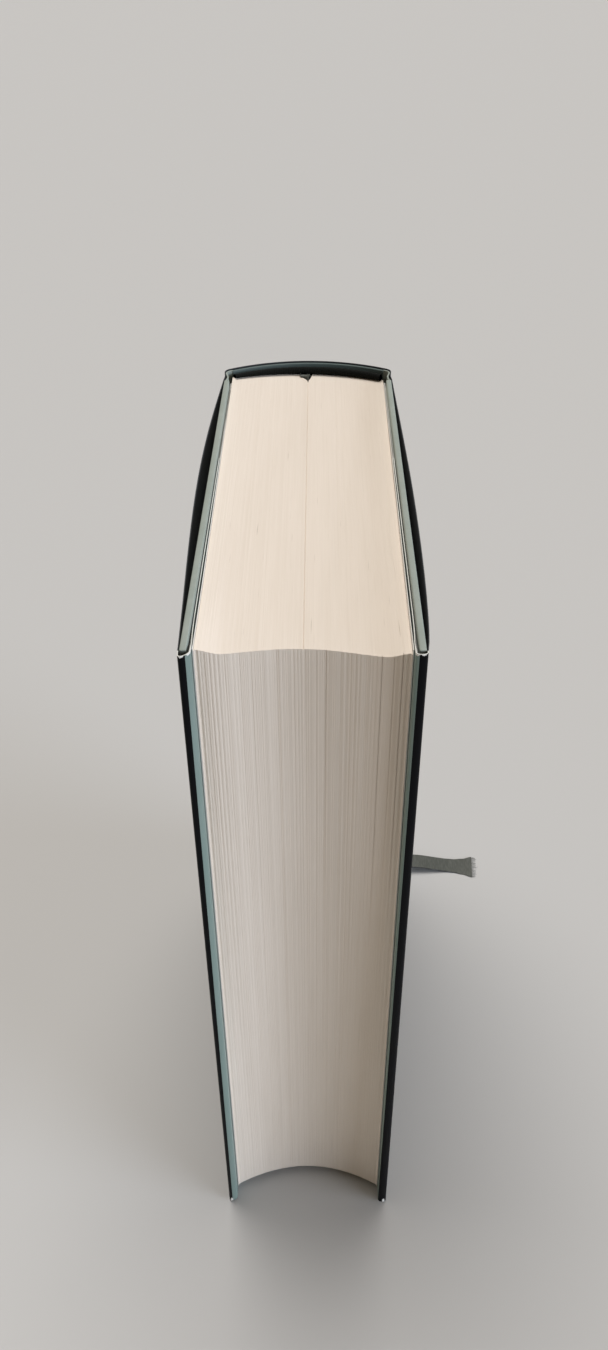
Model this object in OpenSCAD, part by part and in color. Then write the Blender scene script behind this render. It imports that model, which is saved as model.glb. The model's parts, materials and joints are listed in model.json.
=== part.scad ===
// Thick hardcover book in a loose dust jacket, standing on its tail with the fore edge in front.
// X runs across the thickness with the front cover at -X, Y from the fore edge to the spine, Z up.
// The modules work in book coordinates, where Y is 0 at the fore edges of the boards.

/* [Pages] */
// Height of the trimmed pages
page_h = 215; // [180:1:240]
// Depth of the pages, from the fore edge corners to the top of the rounded back
page_w = 146.3; // [125:0.1:165]
// Thickness of the pages at the fore edge
fore_t = 44.8; // [30:0.1:60]
// Thickness of the pages at the backed shoulders
back_t = 46; // [30:0.1:60]
// How far the rounded back stands out behind its shoulders
back_rise = 6.1; // [4.5:0.1:8]
// How deep the fore edge is hollowed at the tail
fore_hollow = 6.2; // [2:0.1:9]
// How far the middle of the fore edge is set back at the head
head_hollow = 1.5; // [0:0.1:4]
// How far the fanned leaves stand forward at the head
head_fan = 0.9; // [0:0.1:2]
// How far the outermost leaves are set back at the head
head_corner = 0.8; // [0:0.1:2]
// How far the leaves lean forward on the back cover's side at the head
head_lean = 0.65; // [0:0.05:1.2]
// Thickness of the endpapers
endpaper_t = 0.15; // [0.1:0.01:0.3]

/* [Case] */
// How far the boards stand beyond the pages at head, tail and fore edge
square = 3; // [2:0.1:5]
// Thickness of the boards
board_t = 1.3; // [1.2:0.1:3.5]
// Thickness of the covering
covering_t = 0.2; // [0.15:0.01:0.4]
// Width of the covering that is turned in over the edges
turn_in = 15; // [10:1:20]
// Thickness of the card in the spine
inlay_t = 0.55; // [0.4:0.05:1]
// Thickness of the lining glued to the back of the pages
lining_t = 0.4; // [0.2:0.05:0.6]
// Room between the back of the pages and the card in the spine
hollow = 1.2; // [1.1:0.05:2]
// Width of the joint, from a board's back edge to the shoulder beside the spine
joint_w = 6.5; // [5:0.1:8]
// Depth of the groove in the joint
groove_d = 1.7; // [1.2:0.1:2]
// Depth of the hinge line under the cover's outer face
hinge_d = 1; // [0.8:0.1:1.3]
// Radius of the shoulders beside the spine
shoulder_r = 2.2; // [1.5:0.1:3]
// How far the spine ends short of the boards at head and tail
spine_short = 0.5; // [0.45:0.05:1]
// Diameter of the headbands' bead
bead_d = 2.1; // [1:0.1:2.2]
// Thickness of the headbands' tape
tape_t = 0.3; // [0.2:0.05:0.4]
// Depth of the headbands' tape down the back of the pages
tape_h = 12; // [8:1:20]

/* [Jacket] */
// Thickness of the jacket's paper
jacket_t = 0.2; // [0.12:0.01:0.3]
// How far the jacket ends short of the boards at the head
jacket_short = 0.1; // [0:0.05:1]
// Width of the flaps
flap_w = 88; // [60:1:110]
// How far the jacket bows off the front board
front_bow = 2.4; // [0:0.1:3]
// How far the jacket bows off the back board
back_bow = 1.75; // [0:0.05:2.5]
// How far the front fold stands before the board
front_fold = 1.9; // [0.6:0.1:3]
// How far the back fold stands before the board
back_fold = 1.2; // [0.6:0.1:3]
// Width of the jacket on each side of the hinge line that is left free to bend
jacket_bend = 1.6; // [1.4:0.1:2]

/* [Ribbon] */
// Width of the ribbon bookmark
ribbon_w = 7; // [4:0.5:9]
// Thickness of the ribbon bookmark
ribbon_t = 0.25; // [0.15:0.01:0.25]
// How far the middle of the ribbon lies from the back of the pages
ribbon_in = 5.6; // [5.6:0.1:12]

/* [Hidden] */

// Clearances between sheets that lie on each other, and between a leaf and the page block
leaf_gap = 0.1;
page_gap = 0.05;
// Room that the ribbon has on each side of it between the leaves
slot_gap = 0.15;
// Half of the slit in the covering along the bottom of the groove
groove_slit = 0.35;
// Shape of the jacket's bow and of its folds along the cover
front_skew = 1.15;
back_skew = 0.65;
fold_run = 7;
// Where the fanned leaves crest, as a share of half the thickness
fan_crest = 0.75;
// How far the endpapers' free leaves are set back from the corners of the pages
leaf_set = 0.2;
// Degrees by which the card and the headbands end short of the page block's shoulders
inlay_trim = 1;
band_trim = 0.6;
// Steps along curved outlines
arc_step = 3;
fore_steps = 24;
rise_steps = 10;
bow_steps = 24;

// Heights
cover_h = page_h + 2 * square;
page_z0 = square;
page_z1 = square + page_h;
spine_z0 = spine_short;
spine_z1 = cover_h - spine_short;
jacket_z1 = cover_h - jacket_short;

// Stack of sheets from the pages outwards
leaf_fore = fore_t / 2 + page_gap + endpaper_t;
leaf_back = back_t / 2 + page_gap + endpaper_t;
leaf_flap = max(leaf_fore, leaf_fore + (leaf_back - leaf_fore) * flap_w / (page_w - back_rise));
cover_in = max(leaf_flap + 2 * leaf_gap + jacket_t, leaf_back + leaf_gap);
board_in = cover_in + endpaper_t;
board_out = board_in + board_t;
cover_out = board_out + covering_t;
flap_x = cover_in - leaf_gap - jacket_t / 2;
fold_bulge = flap_x - jacket_t / 2 - leaf_fore - leaf_gap;
jacket_x = cover_out + leaf_gap + jacket_t / 2;

// Rounded back and the layers behind it, all about one centre
back_y = square + page_w;
back_r = (pow(back_t / 2, 2) + pow(back_rise, 2)) / (2 * back_rise);
back_cy = back_y - back_r;
back_a = asin(back_t / 2 / back_r);
lining_r = back_r + page_gap + lining_t;
inlay_r = back_r + hollow;
covering_r = inlay_r + inlay_t + page_gap + covering_t / 2;
jacket_r = covering_r + covering_t / 2 + leaf_gap + jacket_t / 2;
inlay_a = back_a - inlay_trim;
band_a = back_a - band_trim;

// Depth at which a spine of radius r meets the cover's side in a shoulder of the given radius
function shoulder_y(side_x, r, corner) =
    back_cy + sqrt(pow(r - corner, 2) - pow(side_x - corner, 2));

// Boards reach back to the joint, and the hinge lines of the covers run along its middle
covering_x = cover_out - covering_t / 2;
board_w = shoulder_y(covering_x, covering_r, shoulder_r) - joint_w;
hinge_x = cover_out - hinge_d;
hinge_y = board_w + joint_w / 2;

// Whole depth, which puts the origin at the middle
fore_reach = max(front_fold, back_fold) + jacket_t / 2;
back_reach = back_cy + jacket_r + jacket_t / 2;
book_y = (fore_reach - back_reach) / 2;

// Ribbon: middle of its width inside the pages, and its slot
ribbon_y = back_y - ribbon_in;
slot_y0 = ribbon_y - ribbon_w / 2 - 2 * slot_gap;
slot_y1 = ribbon_y + ribbon_w / 2 + 2 * slot_gap;
slot_x = ribbon_t / 2 + slot_gap;
mouth_x = 2.6;
mouth_h = 6;
half_w = ribbon_w / 2;
// Recess in the back of the pages where the ribbon is glued, under the headband's tape
glue_h = 11;
glue_d = ribbon_t + 2 * slot_gap;
glue_y = back_y - glue_d + slot_gap + ribbon_t / 2;
// Each row is a point on the ribbon's middle, the direction of its width and its half width.
// It is glued to the back of the pages, comes over their edge under the headband, twists down between
// the leaves, leaves them at the tail and runs out under the spine on the back cover's side.
ribbon_route = [
    [[0, glue_y, page_z1 - glue_h], [1, 0, 0], half_w],
    [[0, glue_y, page_z1 - 4], [1, 0, 0], half_w - 0.2],
    [[0, glue_y, page_z1 - 1.8], [1, 0, 0], 2],
    [[-0.25, back_y - 0.8, page_z1 - 0.7], [1, 0, 0], 1.4],
    [[-0.7, back_y - 1.7, page_z1 - 0.35], [1, 0, 0], 1.5],
    [[-0.95, back_y - 2.5, page_z1 + 0.3], [1, 0, 0], 1.65],
    [[-0.65, back_y - 3.4, page_z1 + 0.25], [0.9, -0.4, 0.05], 1.35],
    [[-0.25, back_y - 4.3, page_z1 - 0.5], [0.5, -0.85, 0.15], 1.2],
    [[0, back_y - 4.8, page_z1 - 2.3], [0.15, -1, 0.1], 1.6],
    [[0, back_y - 5.1, page_z1 - 5], [0.02, -1, 0.05], 2.4],
    [[0, back_y - 5.4, page_z1 - 8.5], [0, -1, 0.03], 3],
    [[0, ribbon_y, page_z1 - 14], [0, -1, 0], half_w],
    [[0, ribbon_y, page_z0 + page_h / 2], [0, -1, 0], half_w],
    [[0, ribbon_y, page_z0 + 5], [0, -1, 0], half_w],
    [[0.03, ribbon_y, page_z0 + 0.3], [0, -1, 0], half_w],
    [[0.4, ribbon_y, 1.7], [0, -1, 0], half_w],
    [[1.3, ribbon_y, 0.7], [0, -1, 0], half_w],
    [[3, ribbon_y + 0.1, 0.22], [0, -1, 0], half_w],
    [[8, ribbon_y + 0.3, 0.15], [0, -1, 0], half_w],
    [[16, ribbon_y + 0.6, 0.15], [0, -1, 0], half_w],
    [[24, ribbon_y + 0.6, 0.15], [0, -1, 0], half_w],
    [[28, ribbon_y + 0.6, 0.35], [0, -1, 0], half_w],
    [[32, ribbon_y + 0.6, 1.1], [0, -1, 0], half_w],
    [[37, ribbon_y + 0.6, 2.3], [0, -1, 0], half_w],
    [[42, ribbon_y + 0.6, 3], [0, -1, 0], half_w],
    [[47, ribbon_y + 0.6, 2.7], [0, -1, 0], half_w],
    [[52, ribbon_y + 0.5, 1.8], [0, -1, 0], half_w],
    [[57, ribbon_y + 0.4, 0.9], [0, -1, 0], half_w],
    [[61, ribbon_y + 0.2, 0.4], [0, -1, 0], half_w + 0.2],
    [[65, ribbon_y - 0.1, 0.2], [0, -1, 0], half_w + 0.9],
    [[69, ribbon_y - 0.4, 0.25], [0, -1, 0], half_w + 2.2]
];

page_tint = "#e6dccb";
leaf_tint = "#f4f2ee";
sage_tint = "#8f9a92";
board_tint = "#a59c8c";
jacket_tint = "#15171d";
band_tint = "#2a2724";

function unit(v) = v / norm(v);
function smooth(t) = t * t * (3 - 2 * t);
function mix(a, b, t) = a + (b - a) * t;

// Normals of a plan path, to its left side
function path_normals(path) = [
    for (i = [0:len(path) - 1])
        let (
            before = path[max(i - 1, 0)],
            after = path[min(i + 1, len(path) - 1)],
            d = unit(after - before)
        )
        [-d[1], d[0]]
];

// Outline of a sheet of thickness t that follows a plan path with its middle
function sheet_outline(path, t) =
    let (n = path_normals(path), last = len(path) - 1)
    concat(
        [for (i = [0:last]) path[i] + n[i] * t / 2],
        [for (i = [last:-1:0]) path[i] - n[i] * t / 2]
    );

// A sheet bent along a plan path, from z0 to z1
module sheet(path, t, z0, z1) {
    translate([0, 0, z0])
        linear_extrude(z1 - z0)
            polygon(sheet_outline(path, t));
}

// A curved layer behind the pages, between two radii and over an angle to each side
module back_layer(r0, r1, a, z0, z1) {
    translate([0, back_cy, z0])
        rotate([0, 0, 90 - a])
            rotate_extrude(angle = 2 * a, $fn = 180)
                translate([r0, 0])
                    square([r1 - r0, z1 - z0]);
}

// Puts book coordinates into the frame of the part
module in_frame() {
    translate([0, book_y, 0]) children();
}

// Pieces of the front cover are mirrored pieces of the back cover
module front_side() {
    in_frame() mirror([1, 0, 0]) children();
}

// Depth of the fore edge at the tail and at the head, for u from -1 to 1 across the thickness
function fore_tail(u) = fore_hollow * (1 - u * u);
function fore_head(u) =
    let (a = abs(u))
    (a < fan_crest
        ? mix(head_hollow, -head_fan, smooth(a / fan_crest))
        : mix(-head_fan, head_corner, smooth((a - fan_crest) / (1 - fan_crest))))
    - head_lean * u;
function fore_y(u, v) = square + mix(fore_tail(u), fore_head(u), smooth(v));

// Plan outline of the pages at share v of their height
function page_outline(v) = concat(
    [
        for (i = [0:fore_steps])
            let (u = 2 * i / fore_steps - 1)
            [u * fore_t / 2, fore_y(u, v)]
    ],
    [
        for (i = [0:fore_steps])
            let (a = back_a * (1 - 2 * i / fore_steps))
            [back_r * sin(a), back_cy + back_r * cos(a)]
    ]
);

// Solid through rings of n points each, listed from the bottom up and anticlockwise from above
module ringed_solid(points, n) {
    rings = len(points) / n;
    polyhedron(
        points = points,
        faces = concat(
            [[for (i = [0:n - 1]) i]],
            [[for (i = [n - 1:-1:0]) (rings - 1) * n + i]],
            [
                for (k = [0:rings - 2], i = [0:n - 1])
                    [k * n + i, (k + 1) * n + i, (k + 1) * n + (i + 1) % n]
            ],
            [
                for (k = [0:rings - 2], i = [0:n - 1])
                    [k * n + i, (k + 1) * n + (i + 1) % n, k * n + (i + 1) % n]
            ]
        )
    );
}

// Slot and widened mouth where the leaves part around the ribbon, and the recess where it is glued
module ribbon_slot() {
    translate([-slot_x, slot_y0, page_z0 - 1])
        cube([2 * slot_x, slot_y1 - slot_y0, page_h + 2]);
    translate([-half_w - slot_gap, back_y - glue_d, page_z1 - glue_h - slot_gap])
        cube([ribbon_w + 2 * slot_gap, glue_d + 1, glue_h + 1]);
    translate([0, back_y + 1, page_z1])
        rotate([90, 0, 0])
            linear_extrude(ribbon_w / 2 + 5)
                polygon([[-mouth_x, 1], [-mouth_x, 0], [0, -mouth_h], [mouth_x, 0], [mouth_x, 1]]);
}

// Pages as one block, with a rounded back and a fore edge that is hollow below and fanned above
module text_block() {
    color(page_tint)
        in_frame()
            difference() {
                ringed_solid(
                    [
                        for (k = [0:rise_steps], p = page_outline(k / rise_steps))
                            [p[0], p[1], page_z0 + page_h * k / rise_steps]
                    ],
                    2 * (fore_steps + 1)
                );
                ribbon_slot();
            }
}

// Free leaf of an endpaper, against the pages
module flyleaf() {
    color(leaf_tint)
        sheet(
            [
                [fore_t / 2 + page_gap + endpaper_t / 2, square + leaf_set],
                [back_t / 2 + page_gap + endpaper_t / 2, back_y - back_rise]
            ],
            endpaper_t, page_z0, page_z1
        );
}

module front_flyleaf() {
    front_side() flyleaf();
}

module back_flyleaf() {
    in_frame() flyleaf();
}

// Woven band with a round bead, standing on the head of the pages at their back
module head_band() {
    color(band_tint)
        in_frame()
            translate([0, back_cy, page_z1])
                rotate([0, 0, 90 - band_a])
                    rotate_extrude(angle = 2 * band_a, $fn = 180) {
                        translate([back_r + page_gap + tape_t - bead_d / 2, page_gap + bead_d / 2])
                            circle(d = bead_d, $fn = 24);
                        translate([back_r + page_gap, -tape_h])
                            square([tape_t, tape_h + bead_d / 2]);
                    }
}

// The same band at the tail
module tail_band() {
    translate([0, 0, cover_h])
        mirror([0, 0, 1])
            head_band();
}

// Cloth and paper lining glued to the back of the pages, between the headbands
module spine_lining() {
    color(leaf_tint)
        in_frame()
            back_layer(
                back_r + page_gap, lining_r, band_a,
                page_z0 + tape_h + 1, page_z1 - tape_h - 1
            );
}

// Card that stiffens the spine of the case
module spine_inlay() {
    color(board_tint)
        in_frame()
            back_layer(
                inlay_r, inlay_r + inlay_t, inlay_a,
                spine_z0 + covering_t, spine_z1 - covering_t
            );
}

// Plan path round the spine: a shoulder on the back cover's side, the rounded spine, the other shoulder
function spine_plan(side_x, r, corner) =
    let (
        cx = side_x - corner,
        cy = shoulder_y(side_x, r, corner),
        a = atan2(cx, cy - back_cy),
        turn = 90 - a,
        steps = ceil(turn / (4 * arc_step)),
        sweep = ceil(2 * a / arc_step),
        shoulder = [
            for (i = [0:steps - 1])
                let (b = turn * i / steps)
                [cx + corner * cos(b), cy + corner * sin(b)]
        ]
    )
    concat(
        shoulder,
        [for (i = [0:sweep]) let (b = a * (1 - 2 * i / sweep)) [r * sin(b), back_cy + r * cos(b)]],
        [for (i = [len(shoulder) - 1:-1:0]) [-shoulder[i][0], shoulder[i][1]]]
    );

// Covering round the spine, down into both grooves, turned in at head and tail over the card
module spine_covering() {
    groove = [cover_out - groove_d, hinge_y + groove_slit];
    turned_r = inlay_r - covering_t;
    color(sage_tint)
        in_frame() {
            sheet(
                concat(
                    [groove],
                    spine_plan(covering_x, covering_r, shoulder_r),
                    [[-groove[0], groove[1]]]
                ),
                covering_t, spine_z0, spine_z1
            );
            for (edge = [spine_z0, spine_z1 - covering_t])
                back_layer(turned_r, covering_r, inlay_a, edge, edge + covering_t);
            for (edge = [spine_z0, spine_z1 - turn_in])
                back_layer(turned_r, inlay_r, inlay_a, edge, edge + turn_in);
        }
}

// Board of a cover, with a step pressed along three edges by the covering that is turned in
module board() {
    color(board_tint) {
        translate([board_in + covering_t, covering_t, covering_t])
            cube([board_t - covering_t, board_w - covering_t, cover_h - 2 * covering_t]);
        translate([board_in, turn_in, turn_in])
            cube([board_t, board_w - turn_in, cover_h - 2 * turn_in]);
    }
}

// Covering of a board: its outer face, three edges, the turned in strips and a lip into the groove
module covering() {
    groove_x = cover_out - groove_d;
    groove_y = hinge_y - groove_slit;
    color(sage_tint) {
        difference() {
            translate([board_in, 0, 0])
                cube([cover_out - board_in, board_w, cover_h]);
            board();
        }
        linear_extrude(cover_h)
            polygon([
                [board_out, board_w - covering_t],
                [board_out, board_w],
                [groove_x, groove_y],
                [groove_x + covering_t, groove_y],
                [cover_out, board_w],
                [cover_out, board_w - covering_t]
            ]);
    }
}

// Leaf of an endpaper that is pasted inside a board
module pastedown() {
    color(leaf_tint)
        translate([cover_in, square, square])
            cube([endpaper_t, board_w - square, page_h]);
}

module front_board() {
    front_side() board();
}

module front_covering() {
    front_side() covering();
}

module front_pastedown() {
    front_side() pastedown();
}

module back_board() {
    in_frame() board();
}

module back_covering() {
    in_frame() covering();
}

module back_pastedown() {
    in_frame() pastedown();
}

// Plan path of the jacket on a cover: along the outer face, round the fold and back as the flap
function jacket_plan(bow, skew, reach) =
    let (
        end_y = hinge_y - jacket_bend,
        tip_x = flap_x - fold_bulge,
        fold_x = (jacket_x + tip_x) / 2,
        fold_half = (jacket_x - tip_x) / 2
    )
    concat(
        [
            for (i = [0:bow_steps])
                let (s = 1 - i / bow_steps)
                [jacket_x + bow * sin(180 * pow(s, skew)), end_y * s]
        ],
        [
            for (a = [4 * arc_step:4 * arc_step:180 - 4 * arc_step])
                [fold_x + fold_half * cos(a), -reach * sin(a)]
        ],
        [
            for (i = [0:bow_steps])
                let (y = flap_w * pow(i / bow_steps, 2))
                [flap_x - fold_bulge * exp(-pow(y / fold_run, 2)), y]
        ]
    );

module jacket_front() {
    color(jacket_tint)
        front_side()
            sheet(jacket_plan(front_bow, front_skew, front_fold), jacket_t, spine_z0, jacket_z1);
}

module jacket_back() {
    color(jacket_tint)
        in_frame()
            sheet(jacket_plan(back_bow, back_skew, back_fold), jacket_t, spine_z0, jacket_z1);
}

module jacket_spine() {
    end = [jacket_x, hinge_y + jacket_bend];
    corner = shoulder_r + jacket_x - covering_x;
    color(jacket_tint)
        in_frame()
            sheet(
                concat([end], spine_plan(jacket_x, jacket_r, corner), [[-end[0], end[1]]]),
                jacket_t, spine_z0, jacket_z1
            );
}

// Corners of the ribbon's section at one row of its route
function ribbon_section(i) =
    let (
        last = len(ribbon_route) - 1,
        along = ribbon_route[min(i + 1, last)][0] - ribbon_route[max(i - 1, 0)][0],
        across = unit(ribbon_route[i][1]) * ribbon_route[i][2],
        up = unit(cross(along, across)) * ribbon_t / 2,
        middle = ribbon_route[i][0]
    )
    [middle + across + up, middle - across + up, middle - across - up, middle + across - up];

module ribbon() {
    color(sage_tint)
        in_frame()
            ringed_solid([for (i = [0:len(ribbon_route) - 1]) each ribbon_section(i)], 4);
}

text_block();
front_flyleaf();
back_flyleaf();
head_band();
tail_band();
spine_lining();
spine_inlay();
spine_covering();
front_board();
front_covering();
front_pastedown();
back_board();
back_covering();
back_pastedown();
jacket_front();
jacket_spine();
jacket_back();
ribbon();
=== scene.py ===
"""Builds and dresses a thick hardcover book in a loose dust jacket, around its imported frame.

Shapes are worked out in millimetres in book coordinates: x across the thickness with the front
cover at -x, y from the boards' fore edges towards the spine, z up from what the book stands on.
"""

from __future__ import annotations

import json
import logging
import math
from dataclasses import dataclass
from enum import Enum

import bmesh
import bpy
import numpy as np
from mathutils import Matrix, Vector

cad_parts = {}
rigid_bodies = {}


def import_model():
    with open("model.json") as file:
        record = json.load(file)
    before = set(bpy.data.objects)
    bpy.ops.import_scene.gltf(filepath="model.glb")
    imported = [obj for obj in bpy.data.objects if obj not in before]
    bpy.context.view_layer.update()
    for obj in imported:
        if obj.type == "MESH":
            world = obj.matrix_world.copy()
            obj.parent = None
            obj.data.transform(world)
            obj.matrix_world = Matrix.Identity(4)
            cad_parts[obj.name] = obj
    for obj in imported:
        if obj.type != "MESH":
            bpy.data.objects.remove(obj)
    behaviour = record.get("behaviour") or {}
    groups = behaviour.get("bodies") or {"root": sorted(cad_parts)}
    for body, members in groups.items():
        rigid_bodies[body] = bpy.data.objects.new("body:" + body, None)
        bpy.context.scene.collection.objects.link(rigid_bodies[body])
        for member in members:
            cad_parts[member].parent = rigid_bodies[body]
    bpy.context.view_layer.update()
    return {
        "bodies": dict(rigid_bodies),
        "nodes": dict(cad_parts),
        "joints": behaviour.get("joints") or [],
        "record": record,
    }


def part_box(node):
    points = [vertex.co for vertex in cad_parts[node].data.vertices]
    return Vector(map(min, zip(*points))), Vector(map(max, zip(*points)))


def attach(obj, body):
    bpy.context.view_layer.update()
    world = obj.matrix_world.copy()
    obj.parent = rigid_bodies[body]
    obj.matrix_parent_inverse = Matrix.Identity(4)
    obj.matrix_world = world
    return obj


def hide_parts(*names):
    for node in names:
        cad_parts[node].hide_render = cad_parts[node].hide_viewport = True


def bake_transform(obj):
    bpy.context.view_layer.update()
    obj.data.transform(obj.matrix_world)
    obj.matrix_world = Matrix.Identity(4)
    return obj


LOG = logging.getLogger("book")
MM = 0.001
PHOTO_SIZE = (608, 1350)
SHADER = "Principled BSDF"
# Name of the attribute that tells how worn a point of the jacket is
WEAR = "wear"
# Points that lie closer together than this are one point
WELD_MM = 0.002
# Edges that turn by more than this stay sharp
SHARP_DEG = 35.0

Faces = list[tuple[int, ...]]


def srgb(code: str) -> tuple[float, float, float, float]:
    """Turns an sRGB hex colour into a linear one.

    Args:
        code: Colour such as "#8d9a92".

    Returns:
        Linear red, green, blue and an alpha of 1.
    """
    channels = [int(code[i:i + 2], 16) / 255 for i in (1, 3, 5)]
    linear = [c / 12.92 if c <= 0.04045 else ((c + 0.055) / 1.055) ** 2.4 for c in channels]
    return (linear[0], linear[1], linear[2], 1.0)


def smooth(t: np.ndarray | float) -> np.ndarray | float:
    """Eases t from 0 to 1, held at both ends."""
    held = np.clip(t, 0.0, 1.0)
    return held * held * (3 - 2 * held)


def add_node(
    tree: bpy.types.NodeTree,
    kind: str,
    settings: dict[str, object] | None = None,
    inputs: dict[str | int, object] | None = None,
) -> bpy.types.Node:
    """Adds a shader node with its settings, and sets or links its inputs.

    Args:
        tree: Node tree that takes the node.
        kind: Node type, such as "ShaderNodeTexNoise".
        settings: Attributes of the node.
        inputs: Value, or output socket to link, for each input by name or index.

    Returns:
        The new node.
    """
    node = tree.nodes.new(kind)
    for name, value in (settings or {}).items():
        setattr(node, name, value)
    for key, value in (inputs or {}).items():
        if isinstance(value, bpy.types.NodeSocket):
            tree.links.new(value, node.inputs[key])
        else:
            node.inputs[key].default_value = value
    return node


def new_material(name: str, values: dict[str, object]) -> bpy.types.Material:
    """Makes a material with a principled shader.

    Args:
        name: Name of the material.
        values: Constant values for the shader's own sockets.

    Returns:
        The material.
    """
    material = bpy.data.materials.new(name)
    material.use_nodes = True
    for key, value in values.items():
        material.node_tree.nodes[SHADER].inputs[key].default_value = value
    return material


@dataclass(frozen=True)
class Grain:
    """Uneven pattern in a surface, with its own size along each axis of the book.

    The shift makes one pattern differ from another.
    """

    pitch_mm: tuple[float, float, float]
    detail: float = 2.0
    shift: float = 0.0
    detail_strength: float = 0.6

    def height(self, material: bpy.types.Material) -> bpy.types.NodeSocket:
        """Lays the pattern into a material.

        Args:
            material: Material that takes the pattern.

        Returns:
            Height of the pattern, from 0 to 1.
        """
        tree = material.node_tree
        place = add_node(tree, "ShaderNodeTexCoord")
        scaled = add_node(
            tree,
            "ShaderNodeVectorMath",
            {"operation": "MULTIPLY_ADD"},
            {
                0: place.outputs["Object"],
                1: [1 / (pitch * MM) for pitch in self.pitch_mm],
                2: [self.shift] * 3,
            },
        )
        noise = add_node(
            tree,
            "ShaderNodeTexNoise",
            {"noise_dimensions": "3D"},
            {
                "Vector": scaled.outputs[0],
                "Scale": 1.0,
                "Detail": self.detail,
                "Roughness": self.detail_strength,
            },
        )
        return noise.outputs["Fac"]


@dataclass(frozen=True)
class Tint:
    """Colour that comes in over a finish as the height of a pattern goes from low to high."""

    height: bpy.types.NodeSocket
    colour: str
    low: float
    high: float
    strength: float = 1.0


def paint(
    material: bpy.types.Material,
    ground: str,
    tints: list[Tint],
    relief: bpy.types.NodeSocket,
    relief_mm: float,
) -> None:
    """Gives a material its ground colour, the tints over it and the relief of its face.

    Args:
        material: Material to paint.
        ground: Colour under the tints.
        tints: Colours over it, the topmost last.
        relief: Height of the relief, from 0 to 1.
        relief_mm: Depth of the relief.
    """
    tree = material.node_tree
    tone = srgb(ground)
    for tint in tints:
        share = add_node(
            tree,
            "ShaderNodeMapRange",
            {"clamp": True},
            {"Value": tint.height, 1: tint.low, 2: tint.high, 3: 0.0, 4: tint.strength},
        )
        layer = add_node(
            tree,
            "ShaderNodeMix",
            {"data_type": "RGBA"},
            {0: share.outputs["Result"], 6: tone, 7: srgb(tint.colour)},
        )
        tone = layer.outputs[2]
    bump = add_node(
        tree,
        "ShaderNodeBump",
        {},
        {"Height": relief, "Strength": 1.0, "Distance": relief_mm * MM},
    )
    tree.links.new(tone, tree.nodes[SHADER].inputs["Base Color"])
    tree.links.new(bump.outputs["Normal"], tree.nodes[SHADER].inputs["Normal"])


@dataclass(frozen=True)
class TrimmedPages:
    """Bulky cream book paper, cut to a block by a guillotine.

    The cut edges of the leaves give matt hairlines of painted shade between the leaves, with a few
    darker ones of painted shade in gaps where leaves part.
    """

    name: str = "book_paper_trimmed"
    paper: str = "#ede1d3"
    # Painted shade between the leaves along the hairlines, and the gatherings' own tone in the
    # clouds
    between: str = "#c9baa6"
    # Painted shade in the gaps where leaves part
    parting: str = "#8d7a66"
    ior: float = 1.47
    roughness: float = 0.86
    # A leaf is 0.1 mm thick, too fine to show, so the lines are drawn about four times as coarse
    line: Grain = Grain((0.42, 24.0, 90.0), detail=3.0)
    # The paper of a few gatherings differs in tone, over some 9 mm
    cloud: Grain = Grain((9.0, 60.0, 60.0), shift=5.0)
    # A gap between leaves is under 0.1 mm wide and is drawn about three times as coarse
    gap: Grain = Grain((0.3, 14.0, 45.0), detail=1.0, shift=11.0)
    relief_mm: float = 0.008

    def material(self) -> bpy.types.Material:
        """Makes the cut paper.

        Returns:
            The paper as a material.
        """
        made = new_material(self.name, {"Roughness": self.roughness, "IOR": self.ior})
        lines = self.line.height(made)
        tints = [
            # The hairlines and the gaps are painted shade; the clouds are the gatherings' own tone
            Tint(lines, self.between, low=0.42, high=0.8, strength=0.13),
            Tint(self.cloud.height(made), self.between, low=0.35, high=0.75, strength=0.12),
            Tint(self.gap.height(made), self.parting, low=0.74, high=0.82, strength=0.4),
        ]
        paint(made, self.paper, tints, lines, self.relief_mm)
        return made


@dataclass(frozen=True)
class UncoatedPaper:
    """Uncoated paper, as it comes off the paper machine.

    Short fibres give a soft matt face with a faint cloudiness.
    """

    name: str
    colour: str
    cloud: str
    ior: float = 1.47
    roughness: float = 0.82
    # Fibres settle in clouds of about 6 mm
    clouds: Grain = Grain((6.0, 6.0, 6.0), detail=3.0)
    # A fibre is 0.03 mm thick, too fine to show, so bundles of fibres are drawn
    fibres: Grain = Grain((0.25, 0.25, 0.6), shift=3.0)
    relief_mm: float = 0.012

    def material(self) -> bpy.types.Material:
        """Makes the paper.

        Returns:
            The paper as a material.
        """
        made = new_material(self.name, {"Roughness": self.roughness, "IOR": self.ior})
        tints = [Tint(self.clouds.height(made), self.cloud, low=0.3, high=0.7)]
        paint(made, self.colour, tints, self.fibres.height(made), self.relief_mm)
        return made


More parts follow.
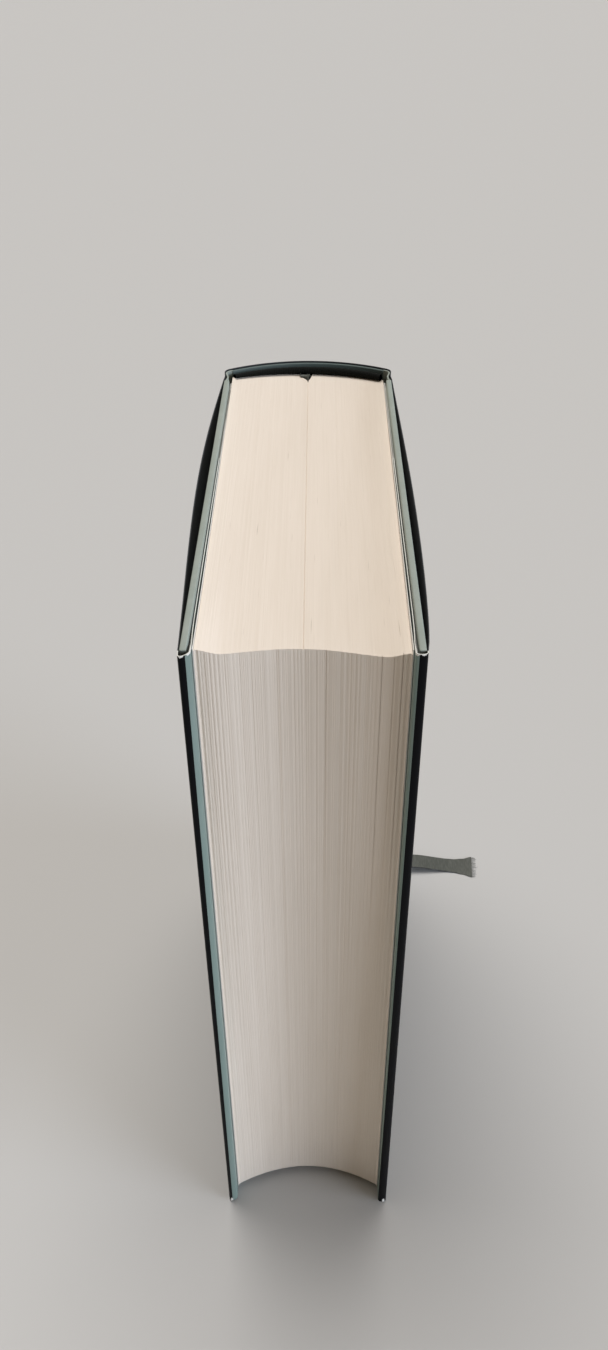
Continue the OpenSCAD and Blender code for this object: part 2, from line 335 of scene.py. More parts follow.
@dataclass(frozen=True)
class FilmLaminate:
    """Printed paper under a matt plastic film, pressed on hot.

    The film gives an even ink a low sheen, with faint rubbed patches, and white paper where worn.
    """

    name: str
    ink: str
    rubbed: str
    worn: str = "#efece6"
    ior: float = 1.49
    # Matting grains in the film break up most of its reflection
    specular: float = 0.06
    roughness: tuple[float, float] = (0.34, 0.46)
    sheen_span: tuple[float, float] = (0.3, 0.7)
    # Fingers rub patches of about 14 by 22 mm
    rub: Grain = Grain((14.0, 14.0, 22.0), detail=4.0)
    # A matting grain is 0.01 mm wide, too fine to show, and is drawn at half a millimetre
    matting: Grain = Grain((0.5, 0.5, 0.5), shift=7.0)
    # Worn film flakes off in bits of under a millimetre
    chip: Grain = Grain((0.7, 0.7, 0.9), detail=3.0, shift=13.0)
    relief_mm: float = 0.006

    def material(self) -> bpy.types.Material:
        """Makes the printed film.

        Returns:
            The film as a material.
        """
        made = new_material(self.name, {"IOR": self.ior, "Specular IOR Level": self.specular})
        tree = made.node_tree
        rubs = self.rub.height(made)
        wear = add_node(tree, "ShaderNodeAttribute", {"attribute_name": WEAR})
        chipped = add_node(
            tree,
            "ShaderNodeMath",
            {"operation": "ADD"},
            {0: self.chip.height(made), 1: wear.outputs["Fac"]},
        )
        sheen = add_node(
            tree,
            "ShaderNodeMapRange",
            {"clamp": True},
            {
                "Value": rubs,
                1: self.sheen_span[0],
                2: self.sheen_span[1],
                3: self.roughness[0],
                4: self.roughness[1],
            },
        )
        tree.links.new(sheen.outputs["Result"], tree.nodes[SHADER].inputs["Roughness"])
        tints = [
            Tint(rubs, self.rubbed, low=0.4, high=0.75, strength=0.6),
            Tint(chipped.outputs[0], self.worn, low=1.0, high=1.12),
        ]
        paint(made, self.ink, tints, self.matting.height(made), self.relief_mm)
        return made


@dataclass(frozen=True)
class LinenPaper:
    """Dyed covering paper with a fine linen grain, embossed by a roller.

    The crossed threads of the grain give a dry, slightly mottled matt face.
    """

    name: str
    dye: str
    faded: str
    ior: float = 1.47
    roughness: float = 0.7
    # Threads of the grain are 0.25 mm apart, drawn a little coarser so that they show
    weft: Grain = Grain((0.38, 0.38, 4.0), detail=1.0)
    warp: Grain = Grain((4.0, 4.0, 0.38), detail=1.0, shift=9.0)
    # The dye takes unevenly, in patches of about 8 mm
    patch: Grain = Grain((8.0, 8.0, 8.0), detail=3.0, shift=4.0)
    relief_mm: float = 0.02

    def material(self) -> bpy.types.Material:
        """Makes the covering paper.

        Returns:
            The paper as a material.
        """
        made = new_material(self.name, {"Roughness": self.roughness, "IOR": self.ior})
        crossed = add_node(
            made.node_tree,
            "ShaderNodeMath",
            {"operation": "MAXIMUM"},
            {0: self.weft.height(made), 1: self.warp.height(made)},
        )
        threads = crossed.outputs[0]
        tints = [
            Tint(self.patch.height(made), self.faded, low=0.35, high=0.7, strength=0.45),
            Tint(threads, self.faded, low=0.55, high=0.8, strength=0.4),
        ]
        paint(made, self.dye, tints, threads, self.relief_mm)
        return made


@dataclass(frozen=True)
class WovenTape:
    """Fine woven tape of spun or filament yarn.

    The yarns give small ribs across the band and a soft sheen on their crowns.
    """

    name: str
    yarn: str
    hollow: str
    ribs: Grain
    roughness: float
    sheen: float
    specular: float = 0.5
    ior: float = 1.5
    # Dyed yarn varies over about 5 mm
    blotch: Grain = Grain((5.0, 5.0, 5.0), shift=6.0)
    relief_mm: float = 0.03

    def material(self) -> bpy.types.Material:
        """Makes the tape.

        Returns:
            The tape as a material.
        """
        made = new_material(
            self.name,
            {
                "Roughness": self.roughness,
                "IOR": self.ior,
                "Specular IOR Level": self.specular,
                "Sheen Weight": self.sheen,
            },
        )
        ribs = self.ribs.height(made)
        tints = [
            Tint(ribs, self.yarn, low=0.4, high=0.68),
            Tint(self.blotch.height(made), self.hollow, low=0.4, high=0.8, strength=0.3),
        ]
        paint(made, self.hollow, tints, ribs, self.relief_mm)
        return made


@dataclass(frozen=True)
class Greyboard:
    """Solid board of recycled fibre, rolled from grey pulp.

    Flecks of darker and lighter fibre show all over its dry, matt face.
    """

    name: str = "greyboard_rolled"
    pulp: str = "#9c9282"
    fleck: str = "#6f675b"
    ior: float = 1.47
    roughness: float = 0.9
    # Flecks of old print and bark are about 0.6 mm wide
    flecks: Grain = Grain((0.6, 0.6, 0.6), detail=3.0)
    relief_mm: float = 0.02

    def material(self) -> bpy.types.Material:
        """Makes the board.

        Returns:
            The board as a material.
        """
        made = new_material(self.name, {"Roughness": self.roughness, "IOR": self.ior})
        flecks = self.flecks.height(made)
        paint(made, self.pulp, [Tint(flecks, self.fleck, low=0.5, high=0.7)], flecks, self.relief_mm)
        return made


class Side(Enum):
    """Cover of the book that a piece belongs to, as the sign of its x."""

    FRONT = -1
    BACK = 1

    @property
    def word(self) -> str:
        """First word of the names of this side's nodes and pieces."""
        return self.name.lower()

    @property
    def body(self) -> str:
        """Body that the cover of this side moves with."""
        return f"{self.word}_cover"


class End(Enum):
    """End of the pages that a headband lies at, as the sign of its way out along z."""

    HEAD = 1
    TAIL = -1


class SheetFace(Enum):
    """Side of a bent sheet that a face lies on."""

    OUTSIDE = 0
    INSIDE = 1
    EDGE = 2


class JacketLayer(Enum):
    """What a face of the jacket shows, in the order of the jacket's materials."""

    PRINT = 0
    REVERSE = 1
    CORE = 2
    FLAP = 3


@dataclass(frozen=True)
class SheetMesh:
    """Points and faces of a bent sheet, with the side and the column that each face lies in."""

    points: np.ndarray
    faces: Faces
    kinds: list[SheetFace]
    columns: list[int]


def path_normals(path: np.ndarray) -> np.ndarray:
    """Works out the unit normals on the left of a plan path.

    Args:
        path: Points of the path, one row each.

    Returns:
        One unit normal for each point.
    """
    along = np.gradient(path, axis=0)
    along /= np.linalg.norm(along, axis=1)[:, None]
    return np.stack([-along[:, 1], along[:, 0]], axis=1)


def bent_sheet(middle: np.ndarray, thickness: float) -> SheetMesh:
    """Makes a closed sheet from rows of points on its middle.

    Args:
        middle: Array of rows by columns by 3, where a row is a plan path at one height.
        thickness: Thickness of the sheet.

    Returns:
        The sheet, whose outside is on the left of each path.
    """
    rows, columns = middle.shape[:2]
    normals = np.zeros_like(middle)
    for row in range(rows):
        normals[row, :, :2] = path_normals(middle[row, :, :2])
    outside = (middle + normals * thickness / 2).reshape(-1, 3)
    inside = (middle - normals * thickness / 2).reshape(-1, 3)
    count = rows * columns
    cells: list[tuple[tuple[int, ...], SheetFace, int]] = []
    for row in range(rows - 1):
        for column in range(columns - 1):
            a = row * columns + column
            b, c, d = a + 1, a + columns + 1, a + columns
            cells.append(((b, a, d, c), SheetFace.OUTSIDE, column))
            cells.append(((count + a, count + b, count + c, count + d), SheetFace.INSIDE, column))
        for column in (0, columns - 1):
            a = row * columns + column
            quad = (a, count + a, count + a + columns, a + columns)
            corners = quad if column == 0 else quad[::-1]
            cells.append((corners, SheetFace.EDGE, min(column, columns - 2)))
    for column in range(columns - 1):
        top = (rows - 1) * columns + column
        tail = (column, column + 1, count + column + 1, count + column)
        head = (top + 1, top, count + top, count + top + 1)
        cells += [(tail, SheetFace.EDGE, column), (head, SheetFace.EDGE, column)]
    faces, kinds, column_of = (list(part) for part in zip(*cells))
    return SheetMesh(np.concatenate([outside, inside]), faces, kinds, column_of)


def tube_faces(rows: int, ring: int, first: int = 0, flip: bool = False) -> Faces:
    """Joins rings of points, one after another, into a closed tube.

    Args:
        rows: Number of rings.
        ring: Points in each ring.
        first: Index of the first point.
        flip: True where the rings run the other way round.

    Returns:
        The faces of the tube, with both its ends.
    """
    faces = []
    for row in range(rows - 1):
        for c in range(ring):
            a = first + row * ring + c
            b = first + row * ring + (c + 1) % ring
            faces.append((a, b, b + ring, a + ring) if flip else (a, a + ring, b + ring, b))
    start = tuple(range(first, first + ring))
    end = tuple(corner + (rows - 1) * ring for corner in start)
    return faces + ([start[::-1], end] if flip else [start, end[::-1]])


def add_piece(
    name: str,
    points: np.ndarray,
    faces: Faces,
    materials: list[bpy.types.Material],
    kinds: list[int] | None = None,
    sharp_deg: float = SHARP_DEG,
) -> bpy.types.Object:
    """Makes an object from points in metres.

    Args:
        name: Name of the piece.
        points: Points in the frame, in metres.
        faces: Corners of each face.
        materials: Materials of the piece.
        kinds: Index of the material of each face.
        sharp_deg: Edges that turn by more than this stay sharp.

    Returns:
        The new object, linked to the scene.
    """
    mesh = bpy.data.meshes.new(name)
    mesh.from_pydata([tuple(point) for point in points], [], faces)
    for material in materials:
        mesh.materials.append(material)
    if kinds is not None:
        mesh.polygons.foreach_set("material_index", kinds)
    mesh.polygons.foreach_set("use_smooth", [True] * len(faces))
    mesh.update()
    mesh.set_sharp_from_angle(angle=math.radians(sharp_deg))
    piece = bpy.data.objects.new(name, mesh)
    bpy.context.scene.collection.objects.link(piece)
    return piece


def weld(piece: bpy.types.Object, sharp_deg: float = SHARP_DEG) -> None:
    """Joins the points of a piece that lie on each other and turns its faces outwards.

    Args:
        piece: Piece whose mesh is closed up.
        sharp_deg: Edges that turn by more than this stay sharp.
    """
    shell = bmesh.new()
    shell.from_mesh(piece.data)
    bmesh.ops.remove_doubles(shell, verts=shell.verts, dist=WELD_MM * MM)
    bmesh.ops.recalc_face_normals(shell, faces=shell.faces)
    shell.to_mesh(piece.data)
    shell.free()
    piece.data.set_sharp_from_angle(angle=math.radians(sharp_deg))


def mirrored(points: np.ndarray, faces: Faces, side: Side) -> tuple[np.ndarray, Faces]:
    """Mirrors points and faces of the back cover's side for the front cover's side.

    Args:
        points: Points on the back cover's side.
        faces: Their faces.
        side: Side that they are wanted on.

    Returns:
        The points and the faces on that side, faces still turned outwards.
    """
    if side is Side.BACK:
        return points, faces
    return points * (-1.0, 1.0, 1.0), [face[::-1] for face in faces]


@dataclass(frozen=True)
class BookFrame:
    """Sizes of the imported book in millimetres, in book coordinates."""

    fore: float
    cover_h: float
    board_in: float
    board_w: float
    cover_out: float
    paste_in: float
    page_low: float
    page_high: float
    fore_half: float
    back_half: float
    back_y: float
    back_rise: float
    hinge_x: float
    hinge_y: float
    covering_y: float
    spine_low: float
    spine_high: float
    jacket_low: float
    jacket_high: float
    jacket_y: float
    jacket_side: float
    bows: dict[Side, float]
    folds: dict[Side, float]
    flap_tip: float

    @classmethod
    def read(cls, frame: dict) -> BookFrame:
        """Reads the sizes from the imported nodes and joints.


        Returns:
            The sizes of the book.
        """
        low, high = {}, {}
        for node in frame["nodes"]:
            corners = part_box(node)
            low[node] = [value / MM for value in corners[0]]
            high[node] = [value / MM for value in corners[1]]
        fore = low["back_covering"][1]
        hinges = {joint["name"]: joint for joint in frame["joints"]}
        hinge = hinges["back_cover_hinge"]["pos_m"]
        side = high["jacket_spine"][0]
        return cls(
            fore=fore,
            cover_h=high["back_covering"][2],
            board_in=low["back_board"][0],
            board_w=high["back_board"][1] - fore,
            cover_out=high["back_covering"][0],
            paste_in=low["back_pastedown"][0],
            page_low=low["text_block"][2],
            page_high=high["text_block"][2],
            fore_half=low["back_flyleaf"][0],
            back_half=high["text_block"][0],
            back_y=high["text_block"][1] - fore,
            back_rise=high["text_block"][1] - high["back_flyleaf"][1],
            hinge_x=hinge[0] / MM,
            hinge_y=hinge[1] / MM - fore,
            covering_y=high["spine_covering"][1] - fore,
            spine_low=low["spine_covering"][2],
            spine_high=high["spine_covering"][2],
            jacket_low=low["jacket_spine"][2],
            jacket_high=high["jacket_spine"][2],
            jacket_y=high["jacket_spine"][1] - fore,
            jacket_side=side,
            bows={
                Side.FRONT: -low["jacket_front"][0] - side,
                Side.BACK: high["jacket_back"][0] - side,
            },
            folds={
                Side.FRONT: fore - low["jacket_front"][1],
                Side.BACK: fore - low["jacket_back"][1],
            },
            flap_tip=low["jacket_back"][0],
        )

    @property
    def back_r(self) -> float:
        """Radius of the rounded back of the pages."""
        return (self.back_half ** 2 + self.back_rise ** 2) / (2 * self.back_rise)

    @property
    def back_cy(self) -> float:
        """Depth of the centre of the rounded back."""
        return self.back_y - self.back_r

    @property
    def back_a(self) -> float:
        """Half angle of the rounded back."""
        return math.asin(self.back_half / self.back_r)

    def on_back(self, radius: float, angle: np.ndarray | float) -> np.ndarray:
        """Gives plan points at a radius and angles about the centre of the rounded back."""
        return np.stack([radius * np.sin(angle), self.back_cy + radius * np.cos(angle)], axis=-1)

    def place(self, points: np.ndarray) -> np.ndarray:
        """Turns book coordinates in millimetres into the frame's metres."""
        return (np.asarray(points, float) + (0.0, self.fore, 0.0)) * MM

    def spot(self, x: float, y: float, z: float) -> tuple[float, float, float]:
        """Turns one point of the book into the frame's metres."""
        return tuple(float(value) for value in self.place(np.array([x, y, z])))


def bend_at_hinge(piece: bpy.types.Object) -> None:
    """Bakes a piece's placement into its points.

    Args:
        piece: Piece that crosses the joint.
    """
    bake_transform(piece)


@dataclass
class PageBlock:
    """Pages as one block, leaf by leaf across its thickness."""

    book: BookFrame
    finish: TrimmedPages
    leaves: int = 434
    rows_up: int = 20
    square: float = 3.0
    fore_hollow: float = 6.2
    head_hollow: float = 3.1
    sag: float = 1.2
    sag_run: float = 0.5
    head_swing: float = 3.9
    swing_power: float = 1.15
    corner_lift: float = 1.1
    lift_run: float = 0.2
    head_tilt: float = 0.5
    back_lift: float = 0.5
    lift_from: float = 0.75
    proud: float = 0.45
    proud_from: float = 0.985
    leaf_gap: float = 0.05
    leaf_part: float = 0.04
    sharp_deg: float = 12.0
    trim_slope: float = 0.5
    gathering: int = 16
    gathering_slip: float = 0.006
    # Leaves slip against each other: typical slip, and the leaves over which it is evened out
    fore_slip: tuple[tuple[float, int], ...] = ((0.013, 1), (0.004, 4))
    head_slip: tuple[tuple[float, int], ...] = ((0.0015, 1), (0.0015, 6))
    tail_slip: tuple[tuple[float, int], ...] = ((0.012, 1), (0.02, 6))
    # How much more the leaves slip at the head of the fore edge than at its tail
    looseness: float = 0.8
    # Leaves set back at the fore edge: place across, depth, share of the height it runs down
    parted: tuple[tuple[float, float, float], ...] = (
        (0.915, 0.5, 0.5),
        (0.84, 0.2, 0.5),
        (0.726, 0.35, 0.6),
        (0.21, 0.15, 0.5),
        (-0.86, 0.15, 0.6),
    )
    # Mouth around the ribbon: distance from the back of the pages, reach to the left and the right
    mouth: tuple[tuple[float, float, float], ...] = (
        (0.0, 2.6, 1.3),
        (1.6, 2.5, 1.2),
        (2.8, 2.1, 1.0),
        (3.9, 1.4, 0.75),
        (4.8, 0.7, 0.45),
        (6.2, 0.03, 0.03),
    )
    mouth_floor: float = 0.25
    mouth_drop: float = 5.0
    mouth_run: float = 4.5
    # Shares of the depth where the head has points, closer together at the mouth
    head_shares: tuple[float, ...] = (0, 0.04, 0.1, 0.2, 0.35, 0.55, 0.75, 0.92)
    mouth_from: float = 0.93
    mouth_steps: int = 13
    # Outer faces: axis that they stand across, its end, and whether their corners run backwards
    outer_faces: tuple[tuple[int, int, bool], ...] = (
        (1, 0, False),
        (1, 1, True),
        (2, 1, False),
        (2, 0, True),
        (0, 0, True),
        (0, 1, False),
    )
    seed: int = 41

    def fore_line(self, u: np.ndarray, v: np.ndarray) -> np.ndarray:
        """Depth of the fore edge.

        Args:
            u: Place across the thickness, from -1 to 1.
            v: Share of the height.

        Returns:
            Depth behind the boards' fore edges.
        """
        tail = self.fore_hollow * (1 - u * u)
        head = self.head_hollow - self.head_swing * smooth(np.abs(u) ** self.swing_power)
        proud = self.proud * smooth((np.abs(u) - self.proud_from) / (1 - self.proud_from))
        return self.square + tail + (head - tail) * smooth(v) - proud

    def head_rise(self, u: np.ndarray | float, share: np.ndarray | float) -> np.ndarray:
        """Height of the leaves above the trimmed head, where they slipped in handling.

        Args:
            u: Place across the thickness, from -1 to 1.
            share: Share of the depth, from the fore edge to the back.

        Returns:
            The height, negative where the leaves sag.
        """
        outer = smooth((np.abs(u) - self.lift_from) / (1 - self.lift_from))
        lift = outer * np.exp(-share / self.lift_run)
        sag = (1 - np.square(u)) * np.exp(-share / self.sag_run)
        tilt = self.back_lift * share * np.square(u) - self.head_tilt * u
        return self.corner_lift * lift - self.sag * sag + tilt

    def slips(
        self, draws: np.random.Generator, spreads: tuple[tuple[float, int], ...]
    ) -> np.ndarray:
        """Random slips of the leaves against each other.

        Args:
            draws: Source of random numbers.
            spreads: Typical slips, each with the leaves over which it is evened out.

        Returns:
            One slip for each leaf.
        """
        total = np.zeros(self.leaves)
        for spread, run in spreads:
            raw = draws.normal(0.0, 1.0, self.leaves + 2 * run)
            weights = np.hanning(2 * run + 3)[1:-1]
            weights /= np.sqrt(np.sum(weights ** 2))
            total += spread * np.convolve(raw, weights, mode="valid")
        return total

    def ribbon_gap(self, depth: np.ndarray, left: np.ndarray) -> tuple[np.ndarray, np.ndarray]:
        """Reach and drop of the mouth that the ribbon holds open at the head.

        Args:
            depth: Distance from the back of the pages.
            left: True for leaves on the front cover's side of the ribbon.

        Returns:
            How far the leaves are pushed aside, and how far the middle one lies down.
        """
        depths, lefts, rights = np.array(self.mouth).T
        reach = np.where(left, np.interp(depth, depths, lefts), np.interp(depth, depths, rights))
        open_share = np.interp(depth, depths[-2:], (1.0, 0.0))
        return reach, self.mouth_floor + self.mouth_drop * open_share

    def build(self) -> list[bpy.types.Object]:
        """Builds the block and puts it in place of its solid.

        Returns:
            The block.
        """
        book = self.book
        draws = np.random.default_rng(self.seed)
        # Two columns to a leaf: its edge keeps the slant it was trimmed with when the leaves fan out
        leaf = np.repeat(np.arange(self.leaves), 2)
        across = np.tile([self.leaf_part, 1 - self.leaf_part], self.leaves)
        u = (leaf + across) / self.leaves * 2 - 1
        centre = (leaf + 0.5) / self.leaves * 2 - 1
        gatherings = self.leaves // self.gathering + 1
        step = np.repeat(draws.normal(0.0, self.gathering_slip, gatherings), self.gathering)
        fore_slip = self.slips(draws, self.fore_slip) + step[:self.leaves]
        head_slip = self.slips(draws, self.head_slip)
        tail_slip = self.slips(draws, self.tail_slip)
        fore_slip[[0, -1]] = 0.0
        v = np.linspace(0, 1, self.rows_up + 1)
        share = np.concatenate([self.head_shares, np.linspace(self.mouth_from, 1, self.mouth_steps)])
        half = book.fore_half - self.leaf_gap
        fore_x = u * half
        back = book.on_back(book.back_r, u * book.back_a)
        slant = -self.trim_slope * centre * (u - centre) * half
        loose = 1 + self.looseness * np.square(v)
        fore_y = self.fore_line(centre[:, None], v[None, :]) + slant[:, None]
        fore_y += fore_slip[leaf][:, None] * loose[None, :]
        for place, depth, reach in self.parted:
            parted = leaf == round((place + 1) / 2 * self.leaves)
            fore_y[parted] += depth * smooth((v - 1 + reach) / reach)

        def points_at(i: np.ndarray, j: np.ndarray, k: np.ndarray) -> np.ndarray:
            """Works out points of the block.

            Args:
                i: Columns across the thickness.
                j: Steps of the depth.
                k: Steps of the height.

            Returns:
                One point for each set of i, j and k.
            """
            x = fore_x[i] + (back[i, 0] - fore_x[i]) * share[j]
            y = fore_y[i, k] + (back[i, 1] - fore_y[i, k]) * share[j]
            tall = book.page_high - book.page_low + self.head_rise(u[i], share[j])
            head = k == self.rows_up
            z = book.page_low + tall * v[k] + np.where(head, head_slip[leaf[i]], 0.0)
            z = z + np.where(k == 0, tail_slip[leaf[i]], 0.0)
            side = np.sign(leaf[i] - self.leaves // 2)
            reach, drop = self.ribbon_gap(book.back_y - y, side < 0)
            x = x + np.where(head, side * reach * np.exp(-np.abs(x) / self.mouth_run), 0.0)
            z = z - np.where(head & (side == 0), drop, 0.0)
            return np.stack([x, y, z], axis=-1)

        points, faces = [], []
        last = (2 * self.leaves - 1, len(share) - 1, self.rows_up)
        for axis, end, flip in self.outer_faces:
            spans = [np.arange(n + 1) for n in last]
            spans[axis] = np.array([last[axis] * end])
            grid = np.stack(np.meshgrid(*spans, indexing="ij"), axis=-1)
            rows, columns = [n for n in grid.shape[:3] if n > 1]
            start = sum(len(block) for block in points)
            points.append(points_at(*grid.reshape(-1, 3).T))
            for row in range(rows - 1):
                for column in range(columns - 1):
                    a = start + row * columns + column
                    quad = (a, a + columns, a + columns + 1, a + 1)
                    faces.append(quad[::-1] if flip else quad)
        piece = add_piece(
            "pages", book.place(np.concatenate(points)), faces, [self.finish.material()]
        )
        weld(piece, self.sharp_deg)
        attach(piece, "block")
        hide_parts("text_block")
        return [piece]


@dataclass
class Endpapers:
    """Folded leaf on each side, half pasted to the board and half free against the pages."""

    book: BookFrame
    pages: PageBlock
    finish: UncoatedPaper
    thickness: float = 0.15
    fold_y: float = 140.6
    fold_depth: float = 0.5
    flat_y: float = 95.0
    # How far the free halves stand above the leaves beside them at the head
    front_stand: float = 0.4
    back_stand: float = 1.3
    bend_gap: float = 0.02
    rows_up: int = 12
    free_steps: int = 14
    fold_steps: int = 9
    joint_steps: int = 6
    paste_steps: int = 12

    def build(self) -> list[bpy.types.Object]:
        """Builds both leaves."""
        material = self.finish.material()
        return [self.leaf(side, material) for side in Side]

    def free_half(self, side: Side, level: float) -> np.ndarray:
        """Points on the middle of the free half at one height.

        Args:
            side: Cover that the leaf is pasted to.
            level: Share of the height.

        Returns:
            The points from the fore edge to the fold, for the back cover's side.
        """
        book = self.book
        square = self.pages.square
        inner = book.fore_half + self.thickness / 2
        outer = book.back_half + self.thickness
        slope = (outer - inner) / (book.back_y - book.back_rise - square)
        start = self.pages.fore_line(np.array(float(side.value)), np.array(level))
        y = np.linspace(float(start), self.fold_y, self.free_steps)
        stand = self.front_stand if side is Side.FRONT else self.back_stand
        rise = self.pages.head_rise(side.value, y / book.back_y) + stand
        rise *= 1 - smooth((y - self.flat_y) / (self.fold_y - self.flat_y))
        z = book.page_low + (book.page_high - book.page_low + rise) * level
        return np.stack([inner + slope * (y - square), y, z], axis=1)

    def leaf(self, side: Side, material: bpy.types.Material) -> bpy.types.Object:
        """Builds one folded leaf.

        Args:
            side: Cover that it is pasted to.
            material: Paper of the leaf.

        Returns:
            The leaf.
        """
        book = self.book
        paste = book.paste_in + self.thickness / 2
        levels = np.linspace(0, 1, self.rows_up + 1)
        free = np.array([self.free_half(side, level) for level in levels])
        free_end = free[0, -1, 0]
        turn = np.linspace(math.pi, 0, self.fold_steps)[1:-1]
        fold_x = (free_end + paste) / 2 + (paste - free_end) / 2 * np.cos(turn)
        fold = np.stack([fold_x, self.fold_y + self.fold_depth * np.sin(turn)], axis=1)
        paste_y = np.concatenate(
            [
                np.linspace(self.fold_y, book.board_w, self.joint_steps),
                np.linspace(book.board_w, self.pages.square, self.paste_steps)[1:],
            ]
        )
        pasted = np.stack([np.full_like(paste_y, paste), paste_y], axis=1)
        rest = np.concatenate([fold, pasted])
        heights = book.page_low + (book.page_high - book.page_low) * levels
        rows = np.stack(
            [
                np.concatenate([row, np.column_stack([rest, np.full(len(rest), z)])])
                for row, z in zip(free, heights)
            ]
        )
        sheet = bent_sheet(rows, self.thickness)
        points, faces = mirrored(sheet.points, sheet.faces, side)
        piece = add_piece(f"{side.word}_endpaper", book.place(points), faces, [material])
        free_x = side.value * (free_end + self.thickness / 2 + self.bend_gap)
        paste_x = side.value * (book.paste_in - self.bend_gap)
        book.spot(free_x, self.fold_y, 0.0)
        book.spot(paste_x, self.fold_y, 0.0)
        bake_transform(piece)
        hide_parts(f"{side.word}_flyleaf", f"{side.word}_pastedown")
        return piece


@dataclass
class Headbands:
    """Woven bands with a ribbed bead at the head and the tail of the pages' back."""

    book: BookFrame
    pages: PageBlock
    finish: WovenTape
    bead_d: float = 2.1
    # Half turns that the bead's section runs round from and to
    bead_turn: tuple[float, float] = (-0.5, 1.45)
    bead_steps: int = 15
    tape_t: float = 0.3
    tape_h: float = 12.0
    page_gap: float = 0.05
    end_gap_deg: float = 0.6
    rib_mm: float = 0.75
    rib_depth: float = 0.11
    steps_per_rib: int = 6

    def build(self) -> list[bpy.types.Object]:
        """Builds the bands at the head and the tail."""
        material = self.finish.material()
        return [self.band(end, material) for end in End]

    def band(self, end: End, material: bpy.types.Material) -> bpy.types.Object:
        """Builds one band.

        Args:
            end: End of the pages that it lies at.
            material: Material of the band.

        Returns:
            The band.
        """
        book = self.book
        outer = book.back_r + self.page_gap + self.tape_t
        bead_r = self.bead_d / 2
        centre = outer - bead_r
        span = book.back_a - math.radians(self.end_gap_deg)
        ribs = round(2 * span * centre / self.rib_mm)
        turn = math.pi * np.linspace(*self.bead_turn, self.bead_steps)
        tape = [
            (outer, self.bead_d / 3),
            (outer, -self.tape_h),
            (outer - self.tape_t, -self.tape_h),
            (outer - self.tape_t, 0.0),
        ]
        rings = []
        for angle in np.linspace(-span, span, ribs * self.steps_per_rib + 1):
            phase = ribs * (angle + span) / (2 * span) * 2 * math.pi
            radius = bead_r * (1 - self.rib_depth * (0.5 + 0.5 * np.cos(phase + turn)))
            bead = np.stack([centre + radius * np.cos(turn), bead_r + radius * np.sin(turn)], 1)
            depth, height = np.concatenate([bead, tape]).T
            if end is End.HEAD:
                # The leaves press the bead flat from below where they stand higher
                base = self.pages.head_rise(angle / book.back_a, 1.0)
                height = height + np.where(height >= 0, base * (1 - height / self.bead_d), 0.0)
            rings.append(np.column_stack([book.on_back(depth, angle), height + self.page_gap]))
        points = np.concatenate(rings)
        edge = book.page_high if end is End.HEAD else book.page_low
        points[:, 2] = edge + end.value * points[:, 2]
        faces = tube_faces(len(rings), len(rings[0]), flip=True)
        word = end.name.lower()
        piece = add_piece(f"{word}_bead", book.place(points), faces, [material])
        weld(piece)
        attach(piece, "block")
        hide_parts(f"{word}_band")
        return piece


